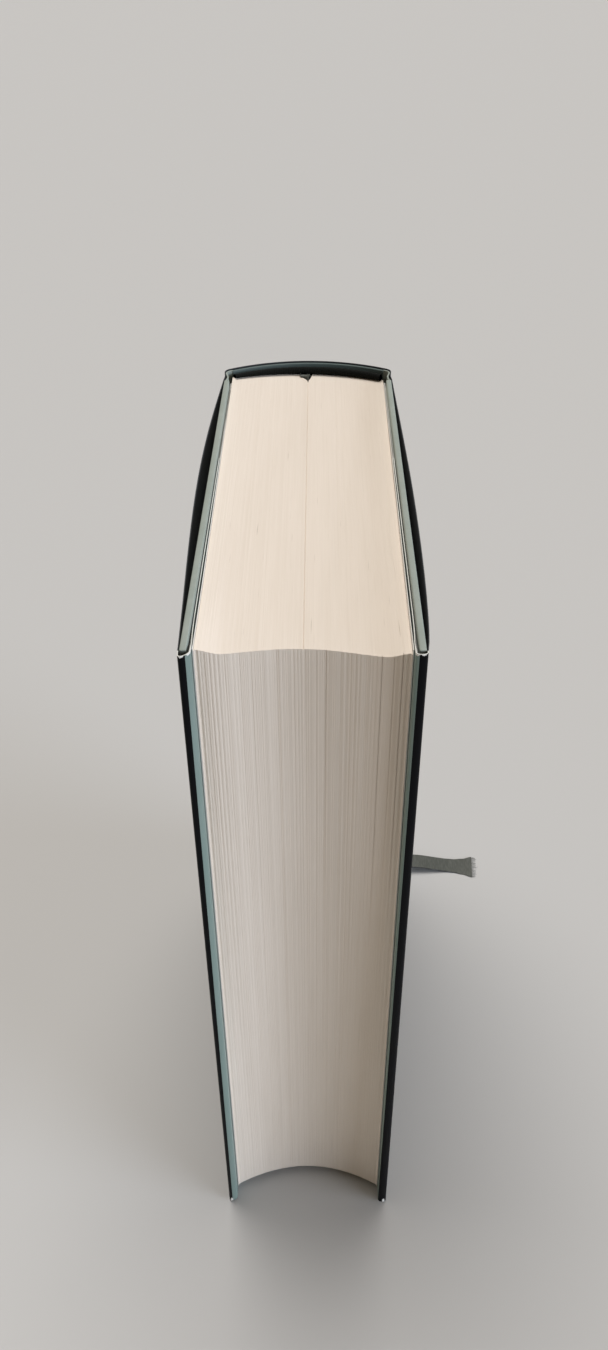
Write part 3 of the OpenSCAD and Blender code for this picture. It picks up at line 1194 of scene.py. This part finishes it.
@dataclass
class Case:
    """Covered boards, covered spine and the covering in the two joints."""

    book: BookFrame
    finish: LinenPaper
    # Covering of the spine, whose darker colour is painted shade
    spine_finish: LinenPaper
    covering_t: float = 0.2
    joint_t: float = 0.45
    shoulder_r: float = 2.2
    groove_d: float = 0.6
    groove_power: float = 1.5
    board_lap: float = 0.6
    edge_r: float = 0.28
    edge_steps: int = 4
    board_sharp_deg: float = 50.0
    plate_t: float = 0.7
    plate_trim_deg: float = 1.0
    round_gap: float = 0.02
    round_steps: int = 9
    spine_steps: int = 61
    arc_steps: int = 5
    groove_steps: int = 22
    rows_up: int = 9

    def build(self) -> list[bpy.types.Object]:
        """Builds the boards, the spine and the joints.

        Returns:
            The pieces of the case.
        """
        material = self.finish.material()
        pieces = [self.spine(self.spine_finish.material())]
        for side in Side:
            pieces.append(self.board(side, material))
            pieces.append(self.joint(side, material))
        return pieces

    @property
    def spine_r(self) -> float:
        """Radius of the middle of the spine's covering."""
        return self.book.covering_y - self.book.back_cy - self.covering_t / 2

    def board(self, side: Side, material: bpy.types.Material) -> bpy.types.Object:
        """Builds a covered board with soft edges.

        Args:
            side: Cover that the board belongs to.
            material: Covering.

        Returns:
            The board.
        """
        book = self.book
        low = np.array([book.board_in, 0.0, 0.0])
        high = np.array([book.cover_out, book.board_w, book.cover_h])
        shell = bmesh.new()
        bmesh.ops.create_cube(shell, size=1.0)
        for vertex in shell.verts:
            corner = low + (high - low) * (np.array(vertex.co) + 0.5)
            vertex.co = book.spot(side.value * corner[0], corner[1], corner[2])
        bmesh.ops.recalc_face_normals(shell, faces=shell.faces)
        bmesh.ops.bevel(
            shell,
            geom=shell.edges[:],
            offset=self.edge_r * MM,
            segments=self.edge_steps,
            profile=0.5,
            affect="EDGES",
        )
        shell.verts.index_update()
        points = np.array([vertex.co for vertex in shell.verts])
        faces = [tuple(vertex.index for vertex in face.verts) for face in shell.faces]
        shell.free()
        name = f"{side.word}_cover_board"
        piece = add_piece(name, points, faces, [material], sharp_deg=self.board_sharp_deg)
        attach(piece, side.body)
        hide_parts(f"{side.word}_covering")
        return piece

    def spine(self, material: bpy.types.Material) -> bpy.types.Object:
        """Builds the covered spine, rounded over at head and tail.

        Args:
            material: Covering, whose darker colour is painted shade.

        Returns:
            The spine.
        """
        book = self.book
        outer = self.spine_r + self.covering_t / 2
        round_r = self.plate_t / 2 - self.round_gap
        middle = outer - self.plate_t / 2
        turn = np.linspace(0, math.pi, self.round_steps)
        top_z = book.spine_high - round_r + round_r * np.sin(turn)
        top = np.column_stack([middle + round_r * np.cos(turn), top_z])
        bottom = np.column_stack([top[::-1, 0], book.spine_low + book.spine_high - top[::-1, 1]])
        section = np.concatenate([top, bottom])
        span = book.back_a - math.radians(self.plate_trim_deg)
        angles = np.linspace(-span, span, self.spine_steps)
        points = np.concatenate(
            [np.column_stack([book.on_back(section[:, 0], a), section[:, 1]]) for a in angles]
        )
        faces = tube_faces(len(angles), len(section))
        piece = add_piece("case_spine", book.place(points), faces, [material])
        weld(piece)
        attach(piece, "block")
        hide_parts("spine_covering", "spine_inlay")
        return piece

    def joint(self, side: Side, material: bpy.types.Material) -> bpy.types.Object:
        """Builds the covering from the spine over its shoulder and through the groove.

        Args:
            side: Cover that the joint carries.
            material: Covering.

        Returns:
            The joint.
        """
        book = self.book
        inset = (self.joint_t - self.covering_t) / 2
        x = book.cover_out - self.covering_t / 2 - self.shoulder_r
        y = book.back_cy + math.sqrt((self.spine_r - self.shoulder_r) ** 2 - x * x)
        tangent = math.atan2(x, y - book.back_cy)
        start = book.back_a - math.radians(self.plate_trim_deg)
        arc = book.on_back(self.spine_r - inset, np.linspace(start, tangent, self.arc_steps))
        turn = np.linspace(math.pi / 2 - tangent, 0, self.round_steps)[1:]
        bend = (x, y) + (self.shoulder_r - inset) * np.stack([np.cos(turn), np.sin(turn)], axis=1)
        side_x, bend_y = bend[-1]
        groove_y = np.linspace(bend_y, book.board_w - self.board_lap, self.groove_steps)[1:]
        way = np.clip((bend_y - groove_y) / (bend_y - book.board_w), 0, 1)
        dip = np.sin(math.pi * way) ** self.groove_power
        groove = np.stack([side_x - self.groove_d * dip, groove_y], axis=1)
        path = np.concatenate([arc, bend, groove])
        heights = np.linspace(book.spine_low, book.spine_high, self.rows_up)
        rows = np.stack([np.column_stack([path, np.full(len(path), z)]) for z in heights])
        sheet = bent_sheet(rows, self.joint_t)
        points, faces = mirrored(sheet.points, sheet.faces, side)
        piece = add_piece(f"{side.word}_joint", book.place(points), faces, [material])
        bend_at_hinge(piece)
        return piece


@dataclass(frozen=True)
class JacketHang:
    """How one half of the jacket hangs on its cover.

    Shares of the fold are counted from the outer face towards the flap.
    """

    skew: float
    fold_lean: float
    fold_round: float
    tail_reach: float
    black_tail: float
    black_head: float
    worn_at: float

    def turns(self, level: float, steps: int) -> np.ndarray:
        """Angles round the fold, with the edge of the black print halfway along them.

        Args:
            level: Share of the height.
            steps: Steps on each side of the edge of the print.

        Returns:
            The angles, without both ends.
        """
        black = self.black_tail + (self.black_head - self.black_tail) * level
        edge = math.acos(1 - 2 * black)
        outer = np.linspace(0, edge, steps + 1)
        inner = np.linspace(edge, math.pi, steps + 1)
        return np.concatenate([outer[1:], inner[1:-1]])


@dataclass
class DustJacket:
    """Printed paper jacket in two halves, each from the middle of the spine to a flap."""

    book: BookFrame
    outside: FilmLaminate
    flap: FilmLaminate
    reverse: UncoatedPaper
    core: UncoatedPaper
    front_hang: JacketHang = JacketHang(
        skew=1.15,
        fold_lean=0.62,
        fold_round=1.0,
        tail_reach=0.6,
        black_tail=0.4,
        black_head=0.63,
        worn_at=0.3,
    )
    back_hang: JacketHang = JacketHang(
        skew=0.65,
        fold_lean=1.0,
        fold_round=0.5,
        tail_reach=1.0,
        black_tail=0.99,
        black_head=0.72,
        worn_at=0.35,
    )
    thickness: float = 0.2
    flap_w: float = 88.0
    flap_short: float = 1.3
    short_run: float = 5.0
    leaf_gap: float = 0.1
    fold_run: float = 7.0
    shoulder_r: float = 2.5
    joint_dip: float = 0.25
    seam_mm: float = 0.04
    # Share of the bow that is left halfway up
    middle_bow: float = 0.78
    ripple: float = 0.14
    ripple_count: int = 5
    ripple_waves: tuple[float, float] = (0.6, 2.6)
    # Wear of the fold: how far it reaches from the ends, along the flap and across the fold
    worn_tail: float = 2.6
    worn_head: float = 0.6
    worn_run: float = 4.0
    worn_share: float = 0.22
    flap_share: float = 0.2
    wear_depth: float = 0.8
    tail_depth: float = 1.25
    spine_steps: int = 25
    shoulder_steps: int = 9
    joint_steps: int = 15
    face_steps: int = 48
    fold_steps: int = 10
    flap_steps: int = 41
    rows_up: int = 36
    # Distances of the closer rows from the head and the tail
    end_rows: tuple[float, ...] = (0.0, 0.3, 0.8, 1.6, 3.0)
    seed: int = 17

    def build(self) -> list[bpy.types.Object]:
        """Builds both halves.

        Returns:
            The two halves.
        """
        layers = {
            JacketLayer.PRINT: self.outside,
            JacketLayer.REVERSE: self.reverse,
            JacketLayer.CORE: self.core,
            JacketLayer.FLAP: self.flap,
        }
        materials = [layers[layer].material() for layer in JacketLayer]
        return [self.half(side, materials) for side in Side]

    def hang(self, side: Side) -> JacketHang:
        """Gives the way that the jacket hangs on one cover."""
        return self.front_hang if side is Side.FRONT else self.back_hang

    def spine_plan(self) -> np.ndarray:
        """Plan path from the middle of the spine over the shoulder to the back of the board.

        Returns:
            The points of the path.
        """
        book = self.book
        half_t = self.thickness / 2
        x = book.jacket_side - half_t
        radius = book.jacket_y - book.back_cy - half_t
        corner_x = x - self.shoulder_r
        corner_y = book.back_cy + math.sqrt((radius - self.shoulder_r) ** 2 - corner_x ** 2)
        tangent = math.atan2(corner_x, corner_y - book.back_cy)
        arc = np.linspace(0, tangent, self.spine_steps)[1:]
        arc = np.concatenate([[0.0, self.seam_mm / radius], arc])
        turn = np.linspace(math.pi / 2 - tangent, 0, self.shoulder_steps)[1:]
        round_off = self.shoulder_r * np.stack([np.cos(turn), np.sin(turn)], axis=1)
        joint_y = np.linspace(corner_y, book.board_w, self.joint_steps)[1:]
        dip = np.sin(math.pi * (corner_y - joint_y) / (corner_y - book.board_w)) ** 2
        joint = np.stack([x - self.joint_dip * dip, joint_y], axis=1)
        return np.concatenate(
            [book.on_back(radius, arc), np.array([corner_x, corner_y]) + round_off, joint]
        )

    def face_plan(self, side: Side, bow: float) -> np.ndarray:
        """Plan path along the bowed outer face.

        Args:
            side: Cover that the face lies on.
            bow: Share of the full bow.

        Returns:
            The path from the back of the board to its fore edge.
        """
        book = self.book
        y = np.linspace(book.board_w, 0, self.face_steps + 1)[1:]
        swing = np.sin(math.pi * (y / book.board_w) ** self.hang(side).skew)
        x = book.jacket_side - self.thickness / 2 + bow * book.bows[side] * swing
        return np.stack([x, y], axis=1)

    def fold_plan(self, side: Side, level: float) -> np.ndarray:
        """Plan path round the fold and along the flap.

        Args:
            side: Cover that the flap belongs to.
            level: Share of the height.

        Returns:
            The path from the outer face to the end of the flap.
        """
        book = self.book
        hang = self.hang(side)
        half_t = self.thickness / 2
        x = book.jacket_side - half_t
        flap_x = book.paste_in - self.leaf_gap - half_t
        tip_x = book.flap_tip + half_t
        turn = hang.turns(level, self.fold_steps)
        reach = (book.folds[side] - half_t) * (hang.tail_reach + (1 - hang.tail_reach) * level)
        swing = np.sin(math.pi * (turn / math.pi) ** hang.fold_lean) ** hang.fold_round
        fold = np.stack([(x + tip_x) / 2 + (x - tip_x) / 2 * np.cos(turn), -reach * swing], axis=1)
        y = self.flap_w * np.linspace(0, 1, self.flap_steps) ** 2
        crease = np.exp(-((y / self.fold_run) ** 2))
        flap = np.stack([flap_x - (flap_x - tip_x) * crease, y], axis=1)
        return np.concatenate([fold, flap])

    def half(self, side: Side, materials: list[bpy.types.Material]) -> bpy.types.Object:
        """Builds one half of the jacket.

        Args:
            side: Cover that it wraps.
            materials: Materials in the order of the layers.

        Returns:
            The half.
        """
        book = self.book
        low, high = book.jacket_low, book.jacket_high
        near = np.array(self.end_rows)
        heights = np.concatenate(
            [low + near, np.linspace(low, high, self.rows_up)[1:-1], high - near[::-1]]
        )
        levels = (heights - low) / (high - low)
        spine = self.spine_plan()
        rows = []
        for height, level in zip(heights, levels):
            bow = self.middle_bow + (1 - self.middle_bow) * (2 * level - 1) ** 2
            path = np.concatenate([spine, self.face_plan(side, bow), self.fold_plan(side, level)])
            rows.append(np.column_stack([path, np.full(len(path), height)]))
        middle = np.array(rows)
        face = slice(len(spine), len(spine) + self.face_steps)
        middle[:, face, 0] -= self.ripples(side, levels, middle[0, face, 1])
        flap = slice(face.stop + 2 * self.fold_steps - 1, None)
        short = self.flap_short * smooth(middle[0, flap, 1] / self.short_run)
        middle[:, flap, 2] -= levels[:, None] * short[None, :]
        sheet = bent_sheet(middle, self.thickness)
        fold_start = face.stop - 1
        kinds = [
            self.layer(kind, column, fold_start).value
            for kind, column in zip(sheet.kinds, sheet.columns)
        ]
        points, faces = mirrored(sheet.points, sheet.faces, side)
        piece = add_piece(f"jacket_{side.word}_half", book.place(points), faces, materials, kinds)
        wear = self.wear(side, middle, face.stop)
        mark = piece.data.attributes.new(WEAR, "FLOAT", "POINT")
        mark.data.foreach_set("value", np.tile(wear.reshape(-1), 2).astype(np.float32))
        bend_at_hinge(piece)
        nodes = ["jacket_front", "jacket_spine"] if side is Side.FRONT else ["jacket_back"]
        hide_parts(*nodes)
        return piece

    def ripples(self, side: Side, levels: np.ndarray, depths: np.ndarray) -> np.ndarray:
        """How far the slack face of the jacket lies in, in soft waves.

        Args:
            side: Cover that the face lies on.
            levels: Shares of the height.
            depths: Depths along the face.

        Returns:
            One distance for each level and depth.
        """
        draws = np.random.default_rng(self.seed + side.value)
        along = depths / self.book.board_w
        slack = np.sin(math.pi * along ** self.hang(side).skew)
        total = np.zeros((len(levels), len(depths)))
        for _ in range(self.ripple_count):
            waves = draws.uniform(*self.ripple_waves, 2)
            phase = draws.uniform(0, 2 * math.pi, 2)
            up = np.sin(waves[0] * math.pi * levels + phase[0])
            across = np.sin(waves[1] * math.pi * along + phase[1])
            total += self.ripple / 2 * (0.5 + 0.5 * up[:, None] * across[None, :])
        return total * slack[None, :]

    def wear(self, side: Side, middle: np.ndarray, first: int) -> np.ndarray:
        """How worn the print is at the ends of the fold.

        Args:
            side: Cover that the fold belongs to.
            middle: Points on the middle of the sheet.
            first: First column of the fold.

        Returns:
            Wear of each point, where 1 is bare paper.
        """
        outer = middle[:, first - 1, 0][:, None]
        inner = middle[:, first + 2 * self.fold_steps - 1, 0][:, None]
        share = (outer - middle[:, :, 0]) / (outer - inner)
        height = middle[:, :, 2]
        tail = np.exp(-(((height - height.min()) / self.worn_tail) ** 2))
        head = np.exp(-(((height.max(axis=0) - height) / self.worn_head) ** 2))
        near = np.exp(-(((share - self.hang(side).worn_at) / self.worn_share) ** 2))
        flap_end = np.exp(-(((share - 1) / self.flap_share) ** 2))
        at_head = head * (0.5 + 0.5 * near + flap_end)
        wear = self.wear_depth * (self.tail_depth * tail * near + at_head)
        wear[:, :first - 1] = 0.0
        flap = slice(first + 2 * self.fold_steps, None)
        wear[:, flap] *= np.exp(-((middle[:, flap, 1] / self.worn_run) ** 2))
        return wear

    def layer(self, kind: SheetFace, column: int, fold_start: int) -> JacketLayer:
        """Tells what a face of the jacket shows.

        Args:
            kind: Side of the sheet that the face lies on.
            column: Column of the face along the path.
            fold_start: Column where the fold starts, halfway along which the black print ends.

        Returns:
            The layer that shows.
        """
        if kind is SheetFace.OUTSIDE:
            black = column < fold_start + self.fold_steps
            return JacketLayer.PRINT if black else JacketLayer.FLAP
        if kind is SheetFace.EDGE and column >= fold_start:
            return JacketLayer.CORE
        return JacketLayer.REVERSE


@dataclass
class RibbonBookmark:
    """Narrow woven ribbon that lies between the leaves and runs out at the tail."""

    book: BookFrame
    finish: WovenTape
    width: float = 7.0
    thickness: float = 0.25
    edge_thinning: float = 0.55
    thinning_power: int = 4
    ribbon_in: float = 5.6
    slot_gap: float = 0.15
    floor_gap: float = 0.02
    lowest: float = 0.01
    across: int = 10
    steps: int = 6
    # Loose yarns at the cut end: places, length, thickness and how they spread and sway
    strands: int = 26
    strand_steps: int = 4
    strand_inset: float = 0.01
    strand_root: float = 0.6
    strand_run: tuple[float, float] = (0.9, 2.2)
    strand_r: tuple[float, float] = (0.09, 0.14)
    strand_taper: float = 0.6
    strand_spread: float = 0.5
    strand_sway: float = 0.12
    seed: int = 5

    def route(self) -> list[tuple[tuple[float, ...], tuple[float, ...], float]]:
        """Gives the ribbon's course.

        Returns:
            Points on the ribbon's middle, the direction of its width and its half width.
        """
        book = self.book
        half = self.width / 2
        back = book.back_y
        top, low = book.page_high, book.page_low
        y = back - self.ribbon_in
        glue = back - self.thickness / 2 - self.slot_gap
        return [
            ((0, glue, top - 11), (1, 0, 0), half),
            ((0, glue, top - 4), (1, 0, 0), half - 0.2),
            ((0, glue, top - 1.8), (1, 0, 0), 2),
            ((-0.25, back - 0.8, top - 0.7), (1, 0, 0), 1.4),
            ((-0.7, back - 1.7, top - 0.35), (1, 0, 0), 1.5),
            ((-0.95, back - 2.5, top + 0.3), (1, 0, 0), 1.65),
            ((-0.65, back - 3.4, top + 0.25), (0.9, -0.4, 0.05), 1.35),
            ((-0.25, back - 4.3, top - 0.5), (0.5, -0.85, 0.15), 1.2),
            ((0, back - 4.8, top - 2.3), (0.15, -1, 0.1), 1.6),
            ((0, back - 5.1, top - 5), (0.02, -1, 0.05), 2.4),
            ((0, back - 5.4, top - 8.5), (0, -1, 0.03), 3),
            ((0, y, top - 14), (0, -1, 0), half),
            ((0, y, (top + low) / 2), (0, -1, 0), half),
            ((0, y, low + 5), (0, -1, 0), half),
            ((0.03, y, low + 0.3), (0, -1, 0), half),
            ((0.4, y, 1.7), (0, -1, 0), half),
            ((1.3, y, 0.7), (0, -1, 0), half),
            ((3, y + 0.1, 0.22), (0, -1, 0), half),
            ((8, y + 0.3, 0.15), (0, -1, 0), half),
            ((16, y + 0.6, 0.15), (0, -1, 0), half),
            ((24, y + 0.6, 0.15), (0, -1, 0), half),
            ((28, y + 0.6, 0.35), (0, -1, 0), half),
            ((32, y + 0.6, 1.1), (0, -1, 0), half),
            ((37, y + 0.6, 2.3), (0, -1, 0), half),
            ((42, y + 0.6, 3), (0, -1, 0), half),
            ((47, y + 0.6, 2.7), (0, -1, 0), half),
            ((52, y + 0.5, 1.8), (0, -1, 0), half),
            ((57, y + 0.4, 0.9), (0, -1, 0), half),
            ((61, y + 0.2, 0.4), (0, -1, 0), half + 0.2),
            ((65, y - 0.1, 0.2), (0, -1, 0), half + 0.9),
            ((69, y - 0.4, 0.25), (0, -1, 0), half + 2.2),
        ]

    @staticmethod
    def between(points: list[np.ndarray], t: float) -> np.ndarray:
        """Point on a smooth curve between the middle two of four points.

        Args:
            points: The point before, the two points, and the point after.
            t: Share of the way.

        Returns:
            The point on the curve.
        """
        before, a, b, after = points
        gap = np.linalg.norm(b - a)
        leave = (b - before) / np.linalg.norm(b - before) * gap
        arrive = (after - a) / np.linalg.norm(after - a) * gap
        t2, t3 = t * t, t * t * t
        return (
            a * (2 * t3 - 3 * t2 + 1)
            + leave * (t3 - 2 * t2 + t)
            + b * (3 * t2 - 2 * t3)
            + arrive * (t3 - t2)
        )

    def course(self) -> tuple[np.ndarray, np.ndarray, np.ndarray]:
        """Draws the route out into a smooth course.

        Returns:
            Points on the ribbon's middle, the direction of its width and its half width at each.
        """
        stations = self.route()
        last = stations[-1]
        befores = [stations[0], *stations]
        afters = [*stations[2:], last]
        middles, widths, halves = [], [], []
        for before, a, b, after in zip(befores, stations, stations[1:], afters):
            spots = [np.array(station[0], float) for station in (before, a, b, after)]
            for t in np.arange(self.steps) / self.steps:
                middles.append(self.between(spots, t))
                widths.append(np.array(a[1], float) * (1 - t) + np.array(b[1], float) * t)
                halves.append(a[2] + (b[2] - a[2]) * float(smooth(t)))
        middle = np.array([*middles, last[0]], float)
        middle[:, 2] = np.maximum(middle[:, 2], self.thickness / 2 + self.floor_gap)
        return middle, np.array([*widths, last[1]], float), np.array([*halves, last[2]])

    def build(self) -> list[bpy.types.Object]:
        """Returns:
            The ribbon.
        """
        book = self.book
        middle, cross, halves = self.course()
        along = np.gradient(middle, axis=0)
        along /= np.linalg.norm(along, axis=1)[:, None]
        cross -= np.sum(cross * along, axis=1)[:, None] * along
        cross /= np.linalg.norm(cross, axis=1)[:, None]
        up = np.cross(along, cross)
        reach = np.linspace(1, -1, self.across + 1)
        edge = halves[:, None, None] * reach[None, :, None] * cross[:, None, :]
        face = middle[:, None, :] + edge
        half_t = self.thickness / 2 * (1 - self.edge_thinning * np.abs(reach) ** self.thinning_power)
        lift = half_t[None, :, None] * up[:, None, :]
        points = np.concatenate([face + lift, (face - lift)[:, ::-1]], axis=1)
        faces = tube_faces(*points.shape[:2])
        points, faces = self.fray(points.reshape(-1, 3), faces, face[-1], along[-1])
        points[:, 2] = np.maximum(points[:, 2], self.lowest)
        piece = add_piece("ribbon_bookmark", book.place(points), faces, [self.finish.material()])
        weld(piece)
        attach(piece, "block")
        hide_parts("ribbon")
        centre = book.place(middle)
        return [piece]

    def fray(
        self, points: np.ndarray, faces: Faces, end: np.ndarray, ahead: np.ndarray
    ) -> tuple[np.ndarray, Faces]:
        """Adds loose yarns along the cut end.

        Args:
            points: Points of the ribbon.
            faces: Faces of the ribbon.
            end: Points across the cut end.
            ahead: Direction that the ribbon runs in at its end.

        Returns:
            The points and faces with the yarns.
        """
        draws = np.random.default_rng(self.seed)
        out = np.array([(0, 1, 0), (0, 0, 1), (0, -1, 0), (0, 0, -1)])
        made = [points]
        count = len(points)
        for share in np.linspace(self.strand_inset, 1 - self.strand_inset, self.strands):
            root = end[0] + (end[-1] - end[0]) * share - ahead * self.strand_root
            run = draws.uniform(*self.strand_run)
            spread = (share - 0.5) * np.array([0.0, -self.strand_spread, 0.0])
            sway = spread + draws.normal(0, self.strand_sway, 3)
            thick = draws.uniform(*self.strand_r)
            for t in np.linspace(0, 1, self.strand_steps):
                spot = root + ahead * (self.strand_root + run) * t + sway * run * t * t
                spot[2] = max(spot[2], thick + self.floor_gap)
                made.append(spot + thick * (1 - self.strand_taper * t) * out)
            faces = faces + tube_faces(self.strand_steps, len(out), first=count)
            count += self.strand_steps * len(out)
        return np.concatenate(made), faces


@dataclass
class HiddenParts:
    """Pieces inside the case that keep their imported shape."""

    frame: dict
    board: Greyboard
    lining: WovenTape

    def dress(self) -> list[bpy.types.Object]:
        """Gives the boards and the lining of the back their materials.

        Returns:
            The dressed pieces.
        """
        grey = self.board.material()
        cloth = self.lining.material()
        worn = {"front_board": grey, "back_board": grey, "spine_lining": cloth}
        pieces = [self.frame["nodes"][node] for node in worn]
        for piece, material in zip(pieces, worn.values()):
            piece.data.materials.clear()
            piece.data.materials.append(material)
        return pieces


@dataclass(frozen=True)
class SoftLamp:
    """Wide, distant studio lamp that lights book and floor evenly."""

    name: str
    from_m: tuple[float, float, float]
    spread_deg: float
    strength: float
    colour: str

    def hang(self) -> None:
        """Adds the lamp to the scene, shining from its side towards the book."""
        lamp = bpy.data.lights.new(self.name, "SUN")
        lamp.angle = math.radians(self.spread_deg)
        lamp.energy = self.strength
        lamp.color = srgb(self.colour)[:3]
        holder = bpy.data.objects.new(self.name, lamp)
        holder.location = self.from_m
        holder.rotation_mode = "QUATERNION"
        holder.rotation_quaternion = (-Vector(self.from_m)).to_track_quat("-Z", "Y")
        bpy.context.scene.collection.objects.link(holder)


@dataclass
class Studio:
    """Pale floor, soft lamps, and a camera at the photograph's angle."""

    book: BookFrame
    floor_colour: str = "#cbcac8"
    floor_roughness: float = 0.95
    floor_specular: float = 0.1
    floor_size_m: float = 60.0
    floor_gap_m: float = 0.00005
    sky_colour: str = "#ffe7c4"
    sky_strength: float = 0.114
    backdrop_colour: str = "#d2d1ce"
    lamps: tuple[SoftLamp, ...] = (
        SoftLamp("top_lamp", (-0.1, 0.35, 1.0), 45.0, 2.43, "#fffdfb"),
        SoftLamp("side_lamp", (0.95, -0.42, 0.12), 40.0, 3.3, "#e1edff"),
    )
    focal_px: float = 1095.29
    camera_mm: tuple[float, float, float] = (2.855, -177.393, 351.927)
    pitch_deg: float = 37.72
    yaw_deg: float = -0.855
    roll_deg: float = 0.472
    sensor_mm: float = 36.0
    clip_m: float = 0.01

    def build(self) -> None:
        """Builds the floor, the light and the camera."""
        self.lay_floor()
        self.light()
        self.set_camera()

    def lay_floor(self) -> None:
        """Lays the floor just under the book."""
        half = self.floor_size_m / 2
        mesh = bpy.data.meshes.new("studio_floor")
        corners = [(-half, -half), (half, -half), (half, half), (-half, half)]
        mesh.from_pydata([(x, y, -self.floor_gap_m) for x, y in corners], [], [(0, 1, 2, 3)])
        paper = new_material(
            "studio_paper_matt",
            {
                "Base Color": srgb(self.floor_colour),
                "Roughness": self.floor_roughness,
                "Specular IOR Level": self.floor_specular,
            },
        )
        mesh.materials.append(paper)
        floor = bpy.data.objects.new("studio_floor", mesh)
        bpy.context.scene.collection.objects.link(floor)

    def light(self) -> None:
        """Sets the soft light of the room and hangs the lamps."""
        world = bpy.data.worlds.new("studio_room")
        world.use_nodes = True
        tree = world.node_tree
        tree.nodes.clear()
        rays = add_node(tree, "ShaderNodeLightPath")
        sky = add_node(
            tree,
            "ShaderNodeBackground",
            {},
            {"Color": srgb(self.sky_colour), "Strength": self.sky_strength},
        )
        backdrop = add_node(
            tree, "ShaderNodeBackground", {}, {"Color": srgb(self.backdrop_colour), "Strength": 1.0}
        )
        shown = rays.outputs["Is Camera Ray"]
        for ray in ("Is Glossy Ray", "Is Transmission Ray"):
            either = add_node(
                tree, "ShaderNodeMath", {"operation": "MAXIMUM"}, {0: shown, 1: rays.outputs[ray]}
            )
            shown = either.outputs[0]
        seen = add_node(
            tree, "ShaderNodeMixShader", {}, {0: shown, 1: sky.outputs[0], 2: backdrop.outputs[0]}
        )
        add_node(tree, "ShaderNodeOutputWorld", {}, {"Surface": seen.outputs[0]})
        bpy.context.scene.world = world
        for lamp in self.lamps:
            lamp.hang()

    def set_camera(self) -> None:
        """Sets the camera where the photograph was taken from."""
        pitch, yaw, roll = (math.radians(a) for a in (self.pitch_deg, self.yaw_deg, self.roll_deg))
        ahead = Vector(
            (math.sin(yaw) * math.cos(pitch), math.cos(yaw) * math.cos(pitch), -math.sin(pitch))
        )
        level = ahead.cross(Vector((0, 0, 1))).normalized()
        down = ahead.cross(level)
        right = level * math.cos(roll) + down * math.sin(roll)
        up = right.cross(ahead)
        lens = bpy.data.cameras.new("photo_camera")
        lens.sensor_width = self.sensor_mm
        lens.lens = self.focal_px / max(PHOTO_SIZE) * self.sensor_mm
        lens.clip_start = self.clip_m
        camera = bpy.data.objects.new("photo_camera", lens)
        turn = Matrix((right, up, -ahead)).transposed()
        camera.matrix_world = Matrix.Translation(self.book.spot(*self.camera_mm)) @ turn.to_4x4()
        bpy.context.scene.collection.objects.link(camera)
        bpy.context.scene.camera = camera
        bpy.context.scene.view_settings.view_transform = "Standard"


def main() -> None:
    """Builds the book and its studio, and reports each piece."""
    logging.basicConfig(level=logging.INFO, format="%(message)s")
    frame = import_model()
    book = BookFrame.read(frame)
    Studio(book).build()
    # Yarns of the ribbon, the headbands and the lining are 0.2 to 0.5 mm apart, drawn as they show
    rayon = WovenTape(
        "ribbon_rayon_woven",
        yarn="#52544d",
        hollow="#40423b",
        ribs=Grain((0.45, 3.0, 0.45), detail=1.0),
        roughness=0.5,
        sheen=0.15,
        specular=0.3,
    )
    cotton = WovenTape(
        "headband_cotton_woven",
        yarn="#161714",
        hollow="#0c0d0b",
        ribs=Grain((0.4, 0.4, 0.3), detail=1.0),
        roughness=0.85,
        sheen=0.0,
        specular=0.1,
    )
    mull = WovenTape(
        "lining_mull_woven",
        yarn="#d8d2c4",
        hollow="#b9b2a2",
        ribs=Grain((0.9, 0.9, 0.9), detail=1.0),
        roughness=0.9,
        sheen=0.0,
    )
    endpaper = UncoatedPaper("endpaper_uncoated", "#ebe9e3", "#e4e1da")
    pages = PageBlock(book, TrimmedPages())
    case = Case(
        book,
        finish=LinenPaper("covering_paper_linen", "#929b92", "#a6aca4"),
        # The spine's covering is the boards' paper, darkened as painted shade where it is turned in
        # over the spine
        spine_finish=LinenPaper("covering_paper_handled", "#5d6a66", "#6c7874"),
    )
    jacket = DustJacket(
        book,
        outside=FilmLaminate("jacket_black_film", "#090a0d", "#0f1114"),
        flap=FilmLaminate("jacket_sage_film", "#82938c", "#8d9b95"),
        reverse=UncoatedPaper("jacket_dark_reverse", "#242628", "#2c2e30"),
        core=UncoatedPaper("jacket_paper_core", "#ecebe5", "#dcddd5"),
    )
    pieces = [
        *RibbonBookmark(book, rayon).build(),
        *pages.build(),
        *Endpapers(book, pages, endpaper).build(),
        *Headbands(book, pages, cotton).build(),
        *case.build(),
        *jacket.build(),
        *HiddenParts(frame, Greyboard(), mull).dress(),
    ]
    for piece in pieces:
        LOG.info("%s: %d faces", piece.name, len(piece.data.polygons))


if __name__ == "__main__":
    main()
